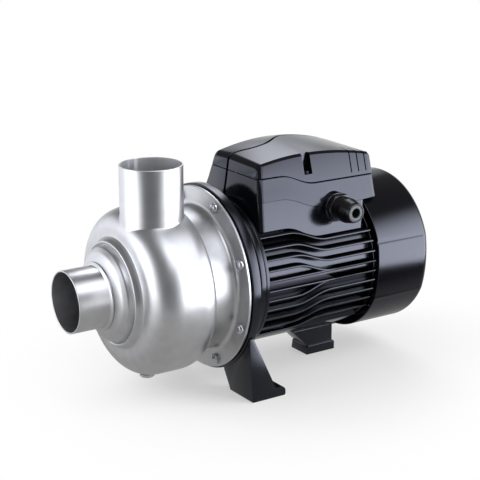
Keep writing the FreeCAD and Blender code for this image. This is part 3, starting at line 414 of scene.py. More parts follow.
def makeWorld():
    # The camera sees white, reflections see a white band round the horizon, surfaces get a soft fill.
    world = bpy.data.worlds.new("studio")
    scene.world = world
    world.use_nodes = True
    tree = world.node_tree
    tree.nodes.clear()
    rays = addNode(tree, "ShaderNodeLightPath").outputs
    seen = mathNode(tree, "MAXIMUM", rays["Is Camera Ray"], rays["Is Transmission Ray"])
    look = addNode(tree, "ShaderNodeSeparateXYZ", None,
                   {0: addNode(tree, "ShaderNodeTexCoord").outputs["Generated"]}).outputs
    band = easeNode(tree, look["Z"], studio["bandTop"] - studio["bandSoft"],
                    studio["bandTop"] + studio["bandSoft"], studio["bandWhite"], studio["roomDark"])
    mirrored = addNode(tree, "ShaderNodeMix", None,
                       {"Factor": rays["Is Glossy Ray"], "A": studio["fill"], "B": band}).outputs[0]
    level = addNode(tree, "ShaderNodeMix", None, {"Factor": seen, "A": mirrored, "B": 1.0}).outputs[0]
    light = addNode(tree, "ShaderNodeBackground", None, {"Color": (1, 1, 1, 1), "Strength": level})
    addNode(tree, "ShaderNodeOutputWorld", None, {"Surface": light.outputs[0]})


def stageMesh(name, corners):
    mesh = bpy.data.meshes.new(name)
    mesh.from_pydata(corners, [], [(0, 1, 2, 3)])
    obj = linked(name, mesh)
    return obj


def makeFloor():
    # Pale diffuse floor that holds the shadow and turns to plain white away from the object;
    # reflections see it as glowing white, dimmed near the object as painted shade.
    half = studio["floorHalf"]
    floor = stageMesh("floor", [(-half, -half, 0), (half, -half, 0), (half, half, 0), (-half, half, 0)])
    material, tree, shader = newMaterial("pale_studio_floor")
    shader.inputs["Base Color"].default_value = fromHex(studio["floorColour"])
    shader.inputs["Roughness"].default_value = 0.9
    shader.inputs["Specular IOR Level"].default_value = 0.0
    place = addNode(tree, "ShaderNodeTexCoord")
    offset = addNode(tree, "ShaderNodeVectorMath", {"operation": "SUBTRACT"},
                     {0: place.outputs["Object"], 1: (studio["aim"][0], studio["aim"][1], 0.0)})
    reach = addNode(tree, "ShaderNodeVectorMath", {"operation": "LENGTH"}, {0: offset.outputs[0]})
    far = easeNode(tree, reach.outputs["Value"], studio["fadeFrom"], studio["fadeTo"], studio["fadeNear"])
    rays = addNode(tree, "ShaderNodeLightPath").outputs
    share = mathNode(tree, "MULTIPLY_ADD", rays["Is Camera Ray"], far, rays["Is Glossy Ray"], True)
    # Floor brightness in reflections: lower near the object, as painted shade there.
    mirrored = easeNode(tree, reach.outputs["Value"], studio["mirrorFrom"], studio["mirrorTo"],
                        studio["mirrorShadeNear"])
    level = addNode(tree, "ShaderNodeMix", None,
                    {"Factor": rays["Is Glossy Ray"], "A": 1.0, "B": mirrored}).outputs[0]
    white = addNode(tree, "ShaderNodeEmission", None, {"Color": (1, 1, 1, 1), "Strength": level})
    mix = addNode(tree, "ShaderNodeMixShader", None, {0: share, 1: shader.outputs[0], 2: white.outputs[0]})
    tree.links.new(mix.outputs[0], tree.nodes["Material Output"].inputs["Surface"])
    floor.data.materials.append(material)


def makeCard(name, middle, across, upward, radiance, softSides, softFoot, softTop):
    # Glowing or dark card that only reflections see; each edge fades over a share of its size.
    middle, across, upward = Vector(middle), Vector(across) / 2, Vector(upward) / 2
    card = stageMesh(name + "_card", [middle - across - upward, middle + across - upward,
                                      middle + across + upward, middle - across + upward])
    spread = card.data.uv_layers.new(name="spread")
    for loop, place in zip(spread.data, ((0, 0), (1, 0), (1, 1), (0, 1))):
        loop.uv = place
    material, tree, shader = newMaterial(name + "_card_light")
    tree.nodes.remove(shader)
    flat = addNode(tree, "ShaderNodeSeparateXYZ", None,
                   {0: addNode(tree, "ShaderNodeUVMap", {"uv_map": "spread"}).outputs["UV"]}).outputs
    share = 1.0
    fades = ((0, 0.0, softSides), (0, 1.0, 1 - softSides), (1, 0.0, softFoot), (1, 1.0, 1 - softTop))
    for along, start, end in fades:
        share = mathNode(tree, "MULTIPLY", easeNode(tree, flat[along], start, end), share)
    light = addNode(tree, "ShaderNodeEmission", None,
                    {"Color": fromHex(studio["cardColour"]), "Strength": radiance})
    clear = addNode(tree, "ShaderNodeBsdfTransparent")
    mix = addNode(tree, "ShaderNodeMixShader", None, {0: share, 1: clear.outputs[0], 2: light.outputs[0]})
    tree.links.new(mix.outputs[0], tree.nodes["Material Output"].inputs["Surface"])
    card.data.materials.append(material)
    for ray in ("camera", "diffuse", "transmission", "volume_scatter", "shadow"):
        setattr(card, "visible_" + ray, False)


def makeUprightCard(name, azimuth, distance, width, foot, top, *light):
    a = math.radians(azimuth)
    middle = (distance * math.cos(a), distance * math.sin(a) + studio["aim"][1], (foot + top) / 2)
    across = (-width * math.sin(a), width * math.cos(a), 0)
    makeCard(name, middle, across, (0, 0, top - foot), *light)


print("studio")
makeCamera()
for lamp in studio["lamps"]:
    makeLamp(*lamp)
makeWorld()
makeFloor()
for card in studio["upright"]:
    makeUprightCard(*card)
for card in studio["loose"]:
    makeCard(*card)
scene.view_settings.view_transform = "Standard"


# Stainless casing

casing = {
    "portR": 30.15, "portWall": 1.5, "barrelR": 84.8, "neckR": 71.0, "flangeR": 90.7,
    "faceR": 62.0, "faceY": -92.5, "barrelFront": -66.5, "barrelRear": -45.0, "neckFront": -28.4,
    "slimR": 80.5, "wideR": 86.0, "slimAngle": 115.0, "steps": 288, "edgeR": 76.0, "eyeY": -111.5,
    "neckRound": 4.5, "beadFootR": 54.5, "flatR": 58.0, "inside": (43.0, -99.0), "insideR": 53.0,
    # Corners (radius, y, rounding) round the eye: a soft cone, then a pressed bead
    "cone": [(33.0, -111.5, 0), (41.5, -107.6, 9.0), (45.8, -103.6, 3.0), (46.8, -97.6, 0)],
    "bead": [(46.8, -97.4, 0), (47.2, -97.0, 0.3), (50.0, -100.4, 2.8), (52.6, -94.8, 1.0)],
}


def spiralShare(angle):
    # 0 where the passage is narrow, just past the outlet, growing to 1 at the outlet.
    c = casing
    degrees = math.degrees(angle) % 360
    if degrees >= c["slimAngle"]:
        return (degrees - c["slimAngle"]) / (360 - c["slimAngle"])
    fall = degrees / c["slimAngle"]
    return 1 - fall * fall * (3 - 2 * fall)


def casingRadius(r, y, angle):
    # Moves the barrel in or out to follow the spiral.
    c = casing
    if y > c["neckFront"] or y < c["faceY"]:
        return r
    base = c["faceR"] if y < c["barrelFront"] else c["neckR"]
    if r <= base:
        return r
    wide = c["slimR"] + (c["wideR"] - c["slimR"]) * spiralShare(angle)
    return base + (r - base) * (wide - base) / (c["barrelR"] - base)


def quarter(centreR, centreY, halfR, halfY, start, end, steps=14):
    points = []
    for k in range(steps + 1):
        a = math.radians(start + (end - start) * k / steps)
        points.append((centreR + halfR * math.cos(a), centreY + halfY * math.sin(a)))
    return points


def casingProfile(inset):
    # Wall line from the eye to the flange rim, outer face or inner face at an inset.
    c = casing
    faceY, barrelR, neckR = c["faceY"] + inset, c["barrelR"] - inset, c["neckR"] - inset
    neckFront = c["neckFront"] - inset
    if inset:
        line = [(c["portR"], c["eyeY"] + inset), c["inside"], (c["insideR"], faceY)]
    else:
        line = [(c["portR"], c["eyeY"])] + roundPath(c["cone"])
        line += roundPath(c["bead"] + [(c["beadFootR"], faceY, 1.2), (c["flatR"], faceY, 0)], steps=4)
    line += quarter(c["faceR"], c["barrelFront"], barrelR - c["faceR"], faceY - c["barrelFront"], 90, 0)
    edge = c["edgeR"] - inset
    line += quarter(edge, c["barrelRear"], barrelR - edge, neckFront - c["barrelRear"], 0, 90)
    line += roundPath([(edge, neckFront, 0), (neckR, neckFront, c["neckRound"]),
                       (neckR, inset, c["neckRound"]), (c["flangeR"], inset, 0)], steps=5)[1:]
    return line


def casingWallAt(x, y):
    # Height of the outer barrel above the shaft at a place in plan.
    c = casing
    z = c["barrelR"]
    for _ in range(12):
        angle = math.atan2(z, x)
        if y < c["barrelFront"]:
            share = min(1.0, (c["barrelFront"] - y) / (c["barrelFront"] - c["faceY"]))
            r = c["faceR"] + (c["barrelR"] - c["faceR"]) * math.sqrt(1 - share * share)
        elif y > c["barrelRear"]:
            share = min(1.0, (y - c["barrelRear"]) / (c["neckFront"] - c["barrelRear"]))
            r = c["edgeR"] + (c["barrelR"] - c["edgeR"]) * math.sqrt(1 - share * share)
        else:
            r = c["barrelR"]
        r = casingRadius(r, y, angle)
        z = math.sqrt(max(r * r - x * x, 1.0))
    return z


discharge = {"x": 16.0, "y": -60.5, "rimZ": 124.5, "flare": 0.9, "steps": 160, "seamFront": -92.0,
             "seamRear": -28.8}


def makeCasing():
    c, d = casing, discharge
    rim = [(c["flangeR"] - 0.5, 0), (c["flangeR"], 0.4), (c["flangeR"], casingWall)]
    wall = casingProfile(0)[:-1] + rim + casingProfile(casingWall)[::-1][1:]
    shell = meshObject("volute_shell", [lathe(wall, c["steps"], casingRadius)])
    hole = pin(c["portR"] - c["portWall"], 20, 130, (d["x"], d["y"], 0), (0, 0, 1), 96)
    boolean(shell, meshObject("hole", [hole]))
    dress(shell, materials["stainless"], "stainless", "volute_casing")


def markBore(obj, x, y, bore):
    # Marks the inside of an upright tube, whose steel is duller there.
    mark = obj.data.attributes.new("bore", "FLOAT", "POINT")
    middle = toFrame(x, y, 0)
    for vertex in obj.data.vertices:
        across = math.hypot(vertex.co.x - middle[0], vertex.co.y - middle[1])
        mark.data[vertex.index].value = 1.0 if across < (bore + 0.05) * mm else 0.0


def makeDischargeTube():
    # Tube whose foot flares into the barrel along the real seam.
    d, r = discharge, casing["portR"]
    bore = r - casing["portWall"]
    rows = []
    for k in range(d["steps"]):
        angle = 2 * math.pi * k / d["steps"]
        c, s = math.cos(angle), math.sin(angle)
        x, y = d["x"] + r * c, d["y"] + r * s
        seam = casingWallAt(x, y)
        footX, footY = x + d["flare"] * c, y + d["flare"] * s
        foot = casingWallAt(footX, footY) if d["seamFront"] < footY < d["seamRear"] else seam - d["flare"] * 1.5
        row = [(d["x"] + bore * c, d["y"] + bore * s, z) for z in (d["rimZ"] - 0.5, seam - 2.0)]
        row.append((x - 0.5 * c, y - 0.5 * s, seam - 3.0))
        row.append((footX, footY, foot - 0.35))
        for t in (0.0, 0.15, 0.3, 0.45, 0.6, 0.75, 0.9, 1.0):
            a, b, e = (1 - t) ** 2, 2 * t * (1 - t), t * t
            row.append((a * footX + b * x + e * x, a * footY + b * y + e * y,
                        a * foot + b * seam + e * (seam + d["flare"])))
        for rim in ((r, -0.6), (r - 0.25, -0.15), (r - 0.7, 0.0), (bore + 0.25, -0.1)):
            row.append((d["x"] + rim[0] * c, d["y"] + rim[0] * s, d["rimZ"] + rim[1]))
        rows += row
    tube = meshObject("discharge_port", [(rows, gridFaces(d["steps"], len(row), True, True))])
    markBore(tube, d["x"], d["y"], bore)
    dress(tube, materials["port"], "stainless", "discharge_tube")


suction = {"rimY": -145.6, "rootY": -108.0, "collarY": -111.6, "collarR": 33.2}


def makeSuctionTube():
    s, r = suction, casing["portR"]
    bore = r - casing["portWall"]
    wall = [(bore, s["rootY"], 0), (r, s["rootY"], 0), (r, s["rimY"], 0.6), (bore, s["rimY"], 0.4)]
    tube = meshObject("suction_port", [lathe(roundPath(wall, True, 4), 128)])
    dress(tube, materials["port"], "stainless", "suction_tube")
    bead = [(r, s["collarY"], 0), (s["collarR"], s["collarY"], 0.3), (s["collarR"], s["collarY"] - 1.3, 1.2),
            (r, s["collarY"] - 2.9, 0)]
    collar = meshObject("suction_weld", [lathe(roundPath(bead, True, 4), 128)])
    dress(collar, materials["port"], "stainless", "suction_weld_collar")


print("casing")
makeCasing()
makeDischargeTube()
makeSuctionTube()


# Bolts of the casing joint

boltSet = {"circleR": 83.0, "count": 8, "firstAngle": 22.5, "headR": 5.4, "headH": 5.0,
           "rimShare": 0.34, "domeShare": 0.66, "shankR": 3.0, "shankEnd": 11.0}


def newTree(name, sizes):
    # Empty geometry tree with one geometry input and named sizes.
    tree = bpy.data.node_groups.new(name, "GeometryNodeTree")
    tree.interface.new_socket(name="Geometry", in_out="INPUT", socket_type="NodeSocketGeometry")
    for key, value in sizes.items():
        kind = {int: "NodeSocketInt", float: "NodeSocketFloat"}.get(type(value), "NodeSocketMaterial")
        tree.interface.new_socket(name=key, in_out="INPUT", socket_type=kind)
    tree.interface.new_socket(name="Geometry", in_out="OUTPUT", socket_type="NodeSocketGeometry")
    return tree, addNode(tree, "NodeGroupInput").outputs


def endTree(tree, geometry, material):
    made = addNode(tree, "GeometryNodeRealizeInstances", None, {"Geometry": geometry})
    painted = addNode(tree, "GeometryNodeSetMaterial", None,
                      {"Geometry": made.outputs[0], "Material": material})
    addNode(tree, "NodeGroupOutput", None, {"Geometry": painted.outputs[0]})


def runTree(obj, tree, sizes):
    # Runs a geometry tree on an object and keeps the plain mesh.
    mod = obj.modifiers.new("grow", "NODES")
    mod.node_group = tree
    for item in tree.interface.items_tree:
        if item.in_out == "INPUT" and item.name in sizes:
            mod[item.identifier] = sizes[item.name]
    return applyModifiers(obj)


def boltTree(sizes):
    # Copies of one bolt on a circle about the shaft.
    tree, given = newTree("bolt_circle", sizes)
    circle = addNode(tree, "GeometryNodeMeshCircle", None,
                     {"Vertices": given["Count"], "Radius": given["Circle radius"]})
    first = mathNode(tree, "RADIANS", given["First angle"])
    turn = addNode(tree, "ShaderNodeCombineXYZ", None, {"X": math.pi / 2})
    spin = addNode(tree, "ShaderNodeCombineXYZ", None, {"Y": mathNode(tree, "MULTIPLY", first, -1.0)})
    upright = addNode(tree, "GeometryNodeTransform", None,
                      {"Geometry": circle.outputs[0], "Rotation": turn.outputs[0]})
    spun = addNode(tree, "GeometryNodeTransform", None,
                   {"Geometry": upright.outputs[0], "Rotation": spin.outputs[0]})
    placed = addNode(tree, "GeometryNodeTransform", None,
                     {"Geometry": spun.outputs[0], "Translation": (0.0, flangeY, shaftZ)})
    bolts = addNode(tree, "GeometryNodeInstanceOnPoints", None,
                    {"Points": placed.outputs[0], "Instance": given["Geometry"]})
    endTree(tree, bolts.outputs[0], given["Material"])
    return tree


def atOrigin(obj):
    # Moves a mesh drawn at the flange centre to the origin, for use as an instance.
    obj.data.transform(Matrix.Translation((0, -flangeY, -shaftZ)))
    return obj


def makeBolts():
    b = boltSet
    dome = [(0.0, -b["headH"])]
    for k in range(1, 8):
        a = math.radians(90 * k / 7)
        height = b["rimShare"] + b["domeShare"] * math.cos(a)
        dome.append((b["headR"] * math.sin(a), -b["headH"] * height))
    profile = dome + [(b["headR"], -0.1), (b["shankR"], -0.05), (b["shankR"], b["shankEnd"]),
                      (0.0, b["shankEnd"])]
    bolt = meshObject("flange_bolts", [lathe(profile, 40, closed=False)])
    sizes = {"Count": b["count"], "Circle radius": b["circleR"] * mm,
             "First angle": b["firstAngle"], "Material": materials["bolt_steel"]}
    runTree(atOrigin(bolt), boltTree(sizes), sizes)
    dress(bolt, materials["bolt_steel"], "bolt_steel", "casing_bolts")


# Motor bracket with its two front legs

bracket = {
    "flangeR": 92.7, "faceY": 3.5, "flangeEnd": 12.8, "neckR": 72.0, "rearY": 30.0, "rearFlangeR": 76.0,
    "rearFlangeY": 24.0, "topX": 84.0, "topZ": -42.0, "footX": 88.7, "innerX": 49.6, "archX": 34.0,
    "archZ": -74.0, "legFrontY": 5.3, "slopeY": 9.3, "padSlopeY": 33.0, "padRearY": 44.0, "padT": 9.0,
    "wall": 6.0, "holeX": 70.0, "holeY": 27.0, "holeR": 4.5, "hipZ": -56.0, "rootX": 56.0, "rootZ": -50.0,
    "legDepth": 60.0, "cutX": 100.0, "cutTop": -30.0, "mouthR": 66.0, "shoulderR": 79.0, "neckY": 15.5,
    # Corners (radius, y, rounding) of the spigot, the bearing seat and the web between them
    "hub": [(60.0, 30.0, 0), (60.0, 34.0, 0), (56.0, 34.0, 0), (56.0, 21.0, 4), (28.5, 21.0, 1),
            (28.5, 29.0, 0), (23.5, 29.0, 0), (23.5, 15.0, 0), (20.3, 15.0, 0), (20.3, 14.0, 0),
            (11.0, 14.0, 0), (11.0, 11.0, 0), (28.5, 11.0, 0), (28.5, 13.0, 0), (62.0, 13.0, 3)],
}
ground = -105.0


def alongY(a, b, depth):
    return (a, depth, b)


def alongX(a, b, depth):
    return (depth, a, b)


def alongZ(a, b, depth):
    return (a, b, depth)


def makeLeg(side):
    b = bracket
    pad = ground + b["padT"]
    front = roundPath([(b["topX"], b["topZ"], 0), (b["footX"], ground, 0), (b["innerX"], ground, 0),
                       (b["innerX"] - 2.0, ground + 4.0, 3), (b["archX"] + 4.0, b["archZ"] - 12.0, 6),
                       (b["archX"], b["archZ"], 4), (b["archX"], b["hipZ"], 0),
                       (b["rootX"], b["rootZ"], 0)])
    leg = meshObject("leg", [prism([(side * x, z) for x, z in front], 0.0, b["legDepth"], alongY)])
    profile = roundPath([(b["legFrontY"], b["topZ"] + 3, 0), (b["legFrontY"], ground, 0.8),
                         (b["padRearY"], ground, 2.0), (b["padRearY"], pad, 6.0),
                         (b["padSlopeY"], pad, 3.0), (b["slopeY"] - 1.2, b["topZ"] + 3, 0)])
    boolean(leg, meshObject("side", [prism(profile, -b["cutX"], b["cutX"], alongX)]), "INTERSECT")
    inner = b["topX"] - b["wall"]
    hollow = [(0.0, b["legFrontY"] + b["wall"]), (side * inner, b["legFrontY"] + b["wall"]),
              (side * (inner + 1.5), b["legDepth"]), (0.0, b["legDepth"])]
    boolean(leg, meshObject("hollow", [prism(hollow, pad, b["cutTop"], alongZ)]))
    hole = pin(b["holeR"], -1, 12, (side * b["holeX"], b["holeY"], ground), (0, 0, 1), 40)
    boolean(leg, meshObject("hole", [hole]))
    return bevel(leg, 1.0, 3, 40)


def makeBracket():
    b = bracket
    profile = roundPath([
        (b["mouthR"], b["faceY"], 0), (b["flangeR"], b["faceY"], 0.8), (b["flangeR"], b["flangeEnd"], 1.2),
        (b["shoulderR"], b["flangeEnd"], 2.0), (b["neckR"], b["neckY"], 3.0),
        (b["neckR"], b["rearFlangeY"], 2.0), (b["rearFlangeR"], b["rearFlangeY"], 0.8),
        (b["rearFlangeR"], b["rearY"], 0.8), *b["hub"]], True, 4)
    body = meshObject("bracket_casting", [lathe(profile, 192)])
    for side in (1, -1):
        boolean(body, makeLeg(side), "UNION")
    dress(body, materials["bracket_paint"], "bracket_paint", "motor_bracket")


# Finned motor body

motor = {
    "frontY": 30.0, "rearY": 165.0, "boreR": 60.0, "coreR": 67.0, "finFront": 33.6,
    "finRear": 163.0, "finSteps": 66, "ringEnd": 34.0, "rearFaceR": 72.0, "crownR": 72.0, "crownFrom": 48.0,
    "bellyR": 73.5, "bellyX": 46.3, "soleHalf": 14.0, "soleFront": 105.0, "soleRear": 162.0,
    "soleLow": -76.4, "soleTop": -68.0,
}
fins = {
    "Count": 11, "Pitch": 10.1, "Middle": 2.6, "Lowest": -6, "Thickness": 2.6, "Tip radius": 76.0,
    "Wave start": 64.0, "Wave end": 112.0, "Root depth": 14.0, "Tip round": 1.15,
}


def waveShare(y, start=fins["Wave start"], end=fins["Wave end"]):
    # 0 in front of the wave, 1 behind it, with level ends.
    t = min(1.0, max(0.0, (y - start) / (end - start)))
    return t * t * t * (t * (6 * t - 15) + 10)


def finTree(sizes):
    # Bends copies of one straight bar round the body, each at its own level and wave.
    tree, given = newTree("wave_fins", sizes)
    line = addNode(tree, "GeometryNodeMeshLine", None, {"Count": given["Count"], "Offset": (0, 0, 0)})
    index = addNode(tree, "GeometryNodeInputIndex").outputs[0]
    level = addNode(tree, "GeometryNodeStoreNamedAttribute", {"data_type": "FLOAT", "domain": "POINT"},
                    {"Geometry": line.outputs[0], "Name": "level", "Value": index})
    copies = addNode(tree, "GeometryNodeInstanceOnPoints", None,
                     {"Points": level.outputs[0], "Instance": given["Geometry"]})
    bars = addNode(tree, "GeometryNodeRealizeInstances", None, {"Geometry": copies.outputs[0]})
    own = addNode(tree, "GeometryNodeInputNamedAttribute", {"data_type": "FLOAT"}, {"Name": "level"}).outputs[0]
    place = addNode(tree, "ShaderNodeSeparateXYZ", None,
                    {0: addNode(tree, "GeometryNodeInputPosition").outputs[0]}).outputs
    number = mathNode(tree, "ADD", mathNode(tree, "ADD", own, given["Lowest"]), 0.5)
    rise = mathNode(tree, "MULTIPLY", number, given["Pitch"])
    outer = mathNode(tree, "GREATER_THAN", mathNode(tree, "ABSOLUTE", number), 1.0)
    drop = mathNode(tree, "MULTIPLY", mathNode(tree, "MULTIPLY", mathNode(tree, "SIGN", number), outer),
                    given["Pitch"])
    share = easeNode(tree, place["Y"], given["Wave start"], given["Wave end"], kind="SMOOTHERSTEP")
    level = mathNode(tree, "ADD", mathNode(tree, "SUBTRACT", rise, mathNode(tree, "MULTIPLY", drop, share)),
                     given["Middle"])
    height = mathNode(tree, "ADD", level, place["Z"])
    square = mathNode(tree, "SUBTRACT", mathNode(tree, "POWER", given["Tip radius"], 2.0),
                      mathNode(tree, "POWER", height, 2.0))
    reach = mathNode(tree, "ADD", mathNode(tree, "SQRT", square), place["X"])
    bent = addNode(tree, "ShaderNodeCombineXYZ", None, {"X": reach, "Y": place["Y"], "Z": height})
    moved = addNode(tree, "GeometryNodeSetPosition", None,
                    {"Geometry": bars.outputs[0], "Position": bent.outputs[0]})
    endTree(tree, moved.outputs[0], given["Material"])
    return tree


def makeFins(side):
    # Comb of fins on one side, drawn in millimetres and placed afterwards.
    f, half, r = fins, fins["Thickness"] / 2, fins["Tip round"]
    section = roundPath([(-f["Root depth"], -half, 0), (0.0, -half, r), (0.0, half, r),
                         (-f["Root depth"], half, 0)], steps=4)
    steps = motor["finSteps"]
    verts = []
    for k in range(steps + 1):
        y = motor["finFront"] + (motor["finRear"] - motor["finFront"]) * k / steps
        verts += [(a, y, c) for a, c in section]
    mesh = bpy.data.meshes.new("fins")
    faces = gridFaces(steps + 1, len(section), False, True) + endFaces(len(section), len(verts))
    mesh.from_pydata(verts, [], faces)
    obj = linked("fins", mesh)
    sizes = dict(f, Material=materials["motor_paint"])
    runTree(obj, finTree(sizes), sizes)
    toMetres = Matrix.Translation((0, flangeY, shaftZ)) @ Matrix.Diagonal((side * mm, mm, mm, 1))
    obj.data.transform(toMetres)
    if side < 0:
        obj.data.flip_normals()
    return obj


def bodyRadius(r, y, angle):
    # Raises the top under the terminal box and the belly over the rear foot.
    if abs(r - motor["coreR"]) > 0.1:
        return r
    degrees = math.degrees(angle) % 360
    if motor["crownFrom"] < degrees < 180 - motor["crownFrom"]:
        return motor["crownR"]
    if degrees > 180:
        wall = motor["bellyX"] / max(abs(math.cos(angle)), 0.01)
        return max(r, min(motor["bellyR"], wall))
    return r


def joinInto(first, others):
    # Joins meshes into the first object.
    bm = bmesh.new()
    for obj in [first] + others:
        bm.from_mesh(obj.data)
    bm.to_mesh(first.data)
    bm.free()
    first.data.shade_smooth()
    for obj in others:
        bpy.data.objects.remove(obj)
    return first


def makeMotorBody():
    m, tip = motor, fins["Tip radius"]
    profile = roundPath([
        (m["boreR"], m["frontY"], 0), (tip, m["frontY"], 0.6), (tip, m["ringEnd"], 1.0),
        (m["coreR"], m["ringEnd"] + 0.5, 0), (m["coreR"], m["finRear"] - 0.5, 0),
        (m["rearFaceR"], m["finRear"], 0.8), (m["rearFaceR"], m["rearY"], 0),
        (m["boreR"], m["rearY"], 0)], True, 4)
    body = meshObject("wave_fin_body", [lathe(profile, 288, bodyRadius)])
    half, low, top = m["soleHalf"], m["soleLow"], m["soleTop"]
    sole = [(-half, low), (half, low), (half, top), (-half, top)]
    foot = bevel(meshObject("sole", [prism(sole, m["soleFront"], m["soleRear"], alongY)]), 0.8, 2)
    joinInto(body, [makeFins(1), makeFins(-1), foot])
    smooth(body.data)
    dress(body, materials["motor_paint"], "motor_paint", "motor_body")


# Terminal box

box = {
    "frontY": 43.7, "frontSlope": 0.143, "rearY": 181.0, "rearZ": 110.5, "topX": 39.5, "topZ": 113.2,
    "sideSlope": 0.288, "wall": 2.4, "gap": 0.3, "round": 3.6, "cornerPower": 1.5, "chamfer": 2.3,
    "crownY": 104.0, "nearCrown": 118.6, "farCrown": 122.8, "ridgeFront": 114.2, "ridgeCrown": 126.0,
    "ridgeX": -12.0, "ridgeBulge": 10.0, "bulgeEnd": 74.0, "ridgeDrop": 18.0, "dropWave": (72.0, 118.0),
    "ridgeHalf": 1.8, "ridgeDepth": 1.7, "ridgeFade": (138.0, 166.0), "partingZ": 100.6, "partingDrop": 10.6,
    "skirtZ": 52.4, "skirtDrop": 12.2, "creaseZ": 79.5, "creaseDrop": 12.5, "creaseWave": (60.0, 120.0),
    "heelY": 157.8, "heelZ": 39.5, "stepY": 165.6, "stepZ": 66.8, "slotX": 34.3, "slotY": 101.0,
    "slotHalf": 4.75, "slotZ": 98.7, "slotWall": 1.6, "slotInside": 0.6, "slotUnder": 2.2,
    "grooveYs": (153.6, 162.6, 171.8), "grooveHalf": 0.7, "grooveX": (25.5, 55.0), "grooveZ": 94.0,
    "grooveDepth": 1.0, "cutX": 60.0, "cutTop": 130.0, "lidSteps": 56, "ringSteps": 60,
}


def boxSide(z):
    return box["topX"] + box["sideSlope"] * (box["topZ"] - z)


def boxFront(z):
    return box["frontY"] - box["frontSlope"] * (box["topZ"] - z)


def partingZ(y):
    return box["partingZ"] - box["partingDrop"] * waveShare(y)


def lidLine(y, front, crown):
    # Arched line of the lid through its front, crown and rear heights.
    if y < box["crownY"]:
        share = (box["crownY"] - y) / (box["crownY"] - box["frontY"])
        return crown - (crown - front) * share * share
    share = (y - box["crownY"]) / (box["rearY"] - box["crownY"])
    return crown - (crown - box["rearZ"]) * share * share


def ridgeLine(y):
    # Side place of the ridge, which swings out and back with the same wave as the fins.
    out = waveShare(y, box["frontY"], box["bulgeEnd"])
    return box["ridgeX"] + box["ridgeBulge"] * out - box["ridgeDrop"] * waveShare(y, *box["dropWave"])


def cornerPoint(degrees):
    # Point of a unit corner that is flatter than an arc, so that it reads as a soft chamfer.
    a = math.radians(degrees)
    return math.cos(a) ** box["cornerPower"], math.sin(a) ** box["cornerPower"]


def lidStations(inset):
    # (share of the length, distance from that end, extra inset) with softly chamfered ends.
    r, count = box["round"], box["lidSteps"]
    ends = []
    for degrees in (90, 72, 56, 34, 18, 0):
        x, y = cornerPoint(degrees)
        ends.append((r * (1 - y), r * (1 - x)))
    front = [(0.0, inset + dy, e) for e, dy in reversed(ends)]
    middle = [(k / count, inset + r, 0.0) for k in range(1, count)]
    rear = [(1.0, inset + dy, e) for e, dy in ends]
    return front + middle + rear


def lidPart(inset=0.0):
    # Skin of the lid above its parting line.
    b = box
    verts = []
    stations = lidStations(inset)
    for share, back, extra in stations:
        y = b["frontY"] + back + share * (b["rearY"] - b["frontY"] - 2 * back)
        e = inset + extra
        near = lidLine(y, b["topZ"], b["nearCrown"]) - e
        far = lidLine(y, b["topZ"], b["farCrown"]) - e
        top = lidLine(y, b["ridgeFront"], b["ridgeCrown"]) - e
        ridgeX = ridgeLine(y)
        low = partingZ(y) + b["gap"] - inset
        step = 0.5 if inset == 0 else 0.0
        c, half = b["chamfer"], b["ridgeHalf"]
        deep = 0.0 if inset else b["ridgeDepth"] * (1 - waveShare(y, *b["ridgeFade"]))
        sideNear, sideFar = boxSide(near) - e, boxSide(far) - e
        slopeNear = (top - near) / (sideNear - ridgeX)
        slopeFar = (top - far) / (sideFar + ridgeX)
        nearZ, farZ = top - half * slopeNear, top - half * slopeFar
        corners = [(boxSide(low) - e - step, low, 0), (boxSide(low) - e, low + step, 0),
                   (sideNear + 0.25 * c, near - c * 0.8, 0.9), (sideNear - c, near + c * slopeNear, 0.9),
                   (ridgeX + half, nearZ, 0.2), (ridgeX + half * 0.75, nearZ - deep, 0),
                   (ridgeX - half * 0.75, farZ - deep, 0), (ridgeX - half, farZ, 0.2),
                   (c - sideFar, far + c * slopeFar, 0.9), (-sideFar - 0.25 * c, far - c * 0.8, 0.9),
                   (-boxSide(low) + e, low + step, 0), (-boxSide(low) + e + step, low, 0)]
        section = roundPath(corners, steps=5)
        for x, z in section:
            front = boxFront(z) + back
            verts.append((x, front + share * (b["rearY"] - back - front), z))
    count = len(section)
    return verts, gridFaces(len(stations), count) + endFaces(count, len(verts))


def blockPart(x0, x1, y0, y1, z0, z1):
    outline = [(y0, z0), (y1, z0), (y1, z1), (y0, z1)]
    return prism(outline, x0, x1, alongX)


def solidify(obj, thickness):
    mod = obj.modifiers.new("wall", "SOLIDIFY")
    mod.thickness = thickness * mm
    mod.offset = -1.0
    return applyModifiers(obj)


def lidForm(inset):
    # Closed form of the lid at an inset, with a bottom that follows the parting line.
    verts, faces = lidPart(inset)
    rows = len(lidStations(inset))
    count = len(verts) // rows
    floor = [(k * count, (k + 1) * count, (k + 2) * count - 1, (k + 1) * count - 1) for k in range(rows - 1)]
    return meshObject("box_lid", [(verts, faces + floor)])


def slotBlock(side):
    b = box
    x0, x1 = sorted((side * b["slotX"], side * b["cutX"]))
    return blockPart(x0, x1, b["slotY"] - b["slotHalf"], b["slotY"] + b["slotHalf"], b["slotZ"], b["cutTop"])


def slotWalls(side):
    # Thin walls and floor of a screw recess, kept under the skin of the lid.
    b = box
    wall, inside = b["slotWall"], b["slotInside"]
    low = b["slotZ"] - wall
    high = (b["nearCrown"] if side > 0 else b["farCrown"]) - b["slotUnder"]
    outline = [(side * (b["slotX"] - wall), low), (side * (boxSide(low) - inside), low),
               (side * (boxSide(high) - inside), high), (side * (b["slotX"] - wall), high)]
    half = b["slotHalf"] + wall
    walls = meshObject("walls", [prism(outline, b["slotY"] - half, b["slotY"] + half, alongY)])
    return boolean(walls, meshObject("slot", [slotBlock(side)]))


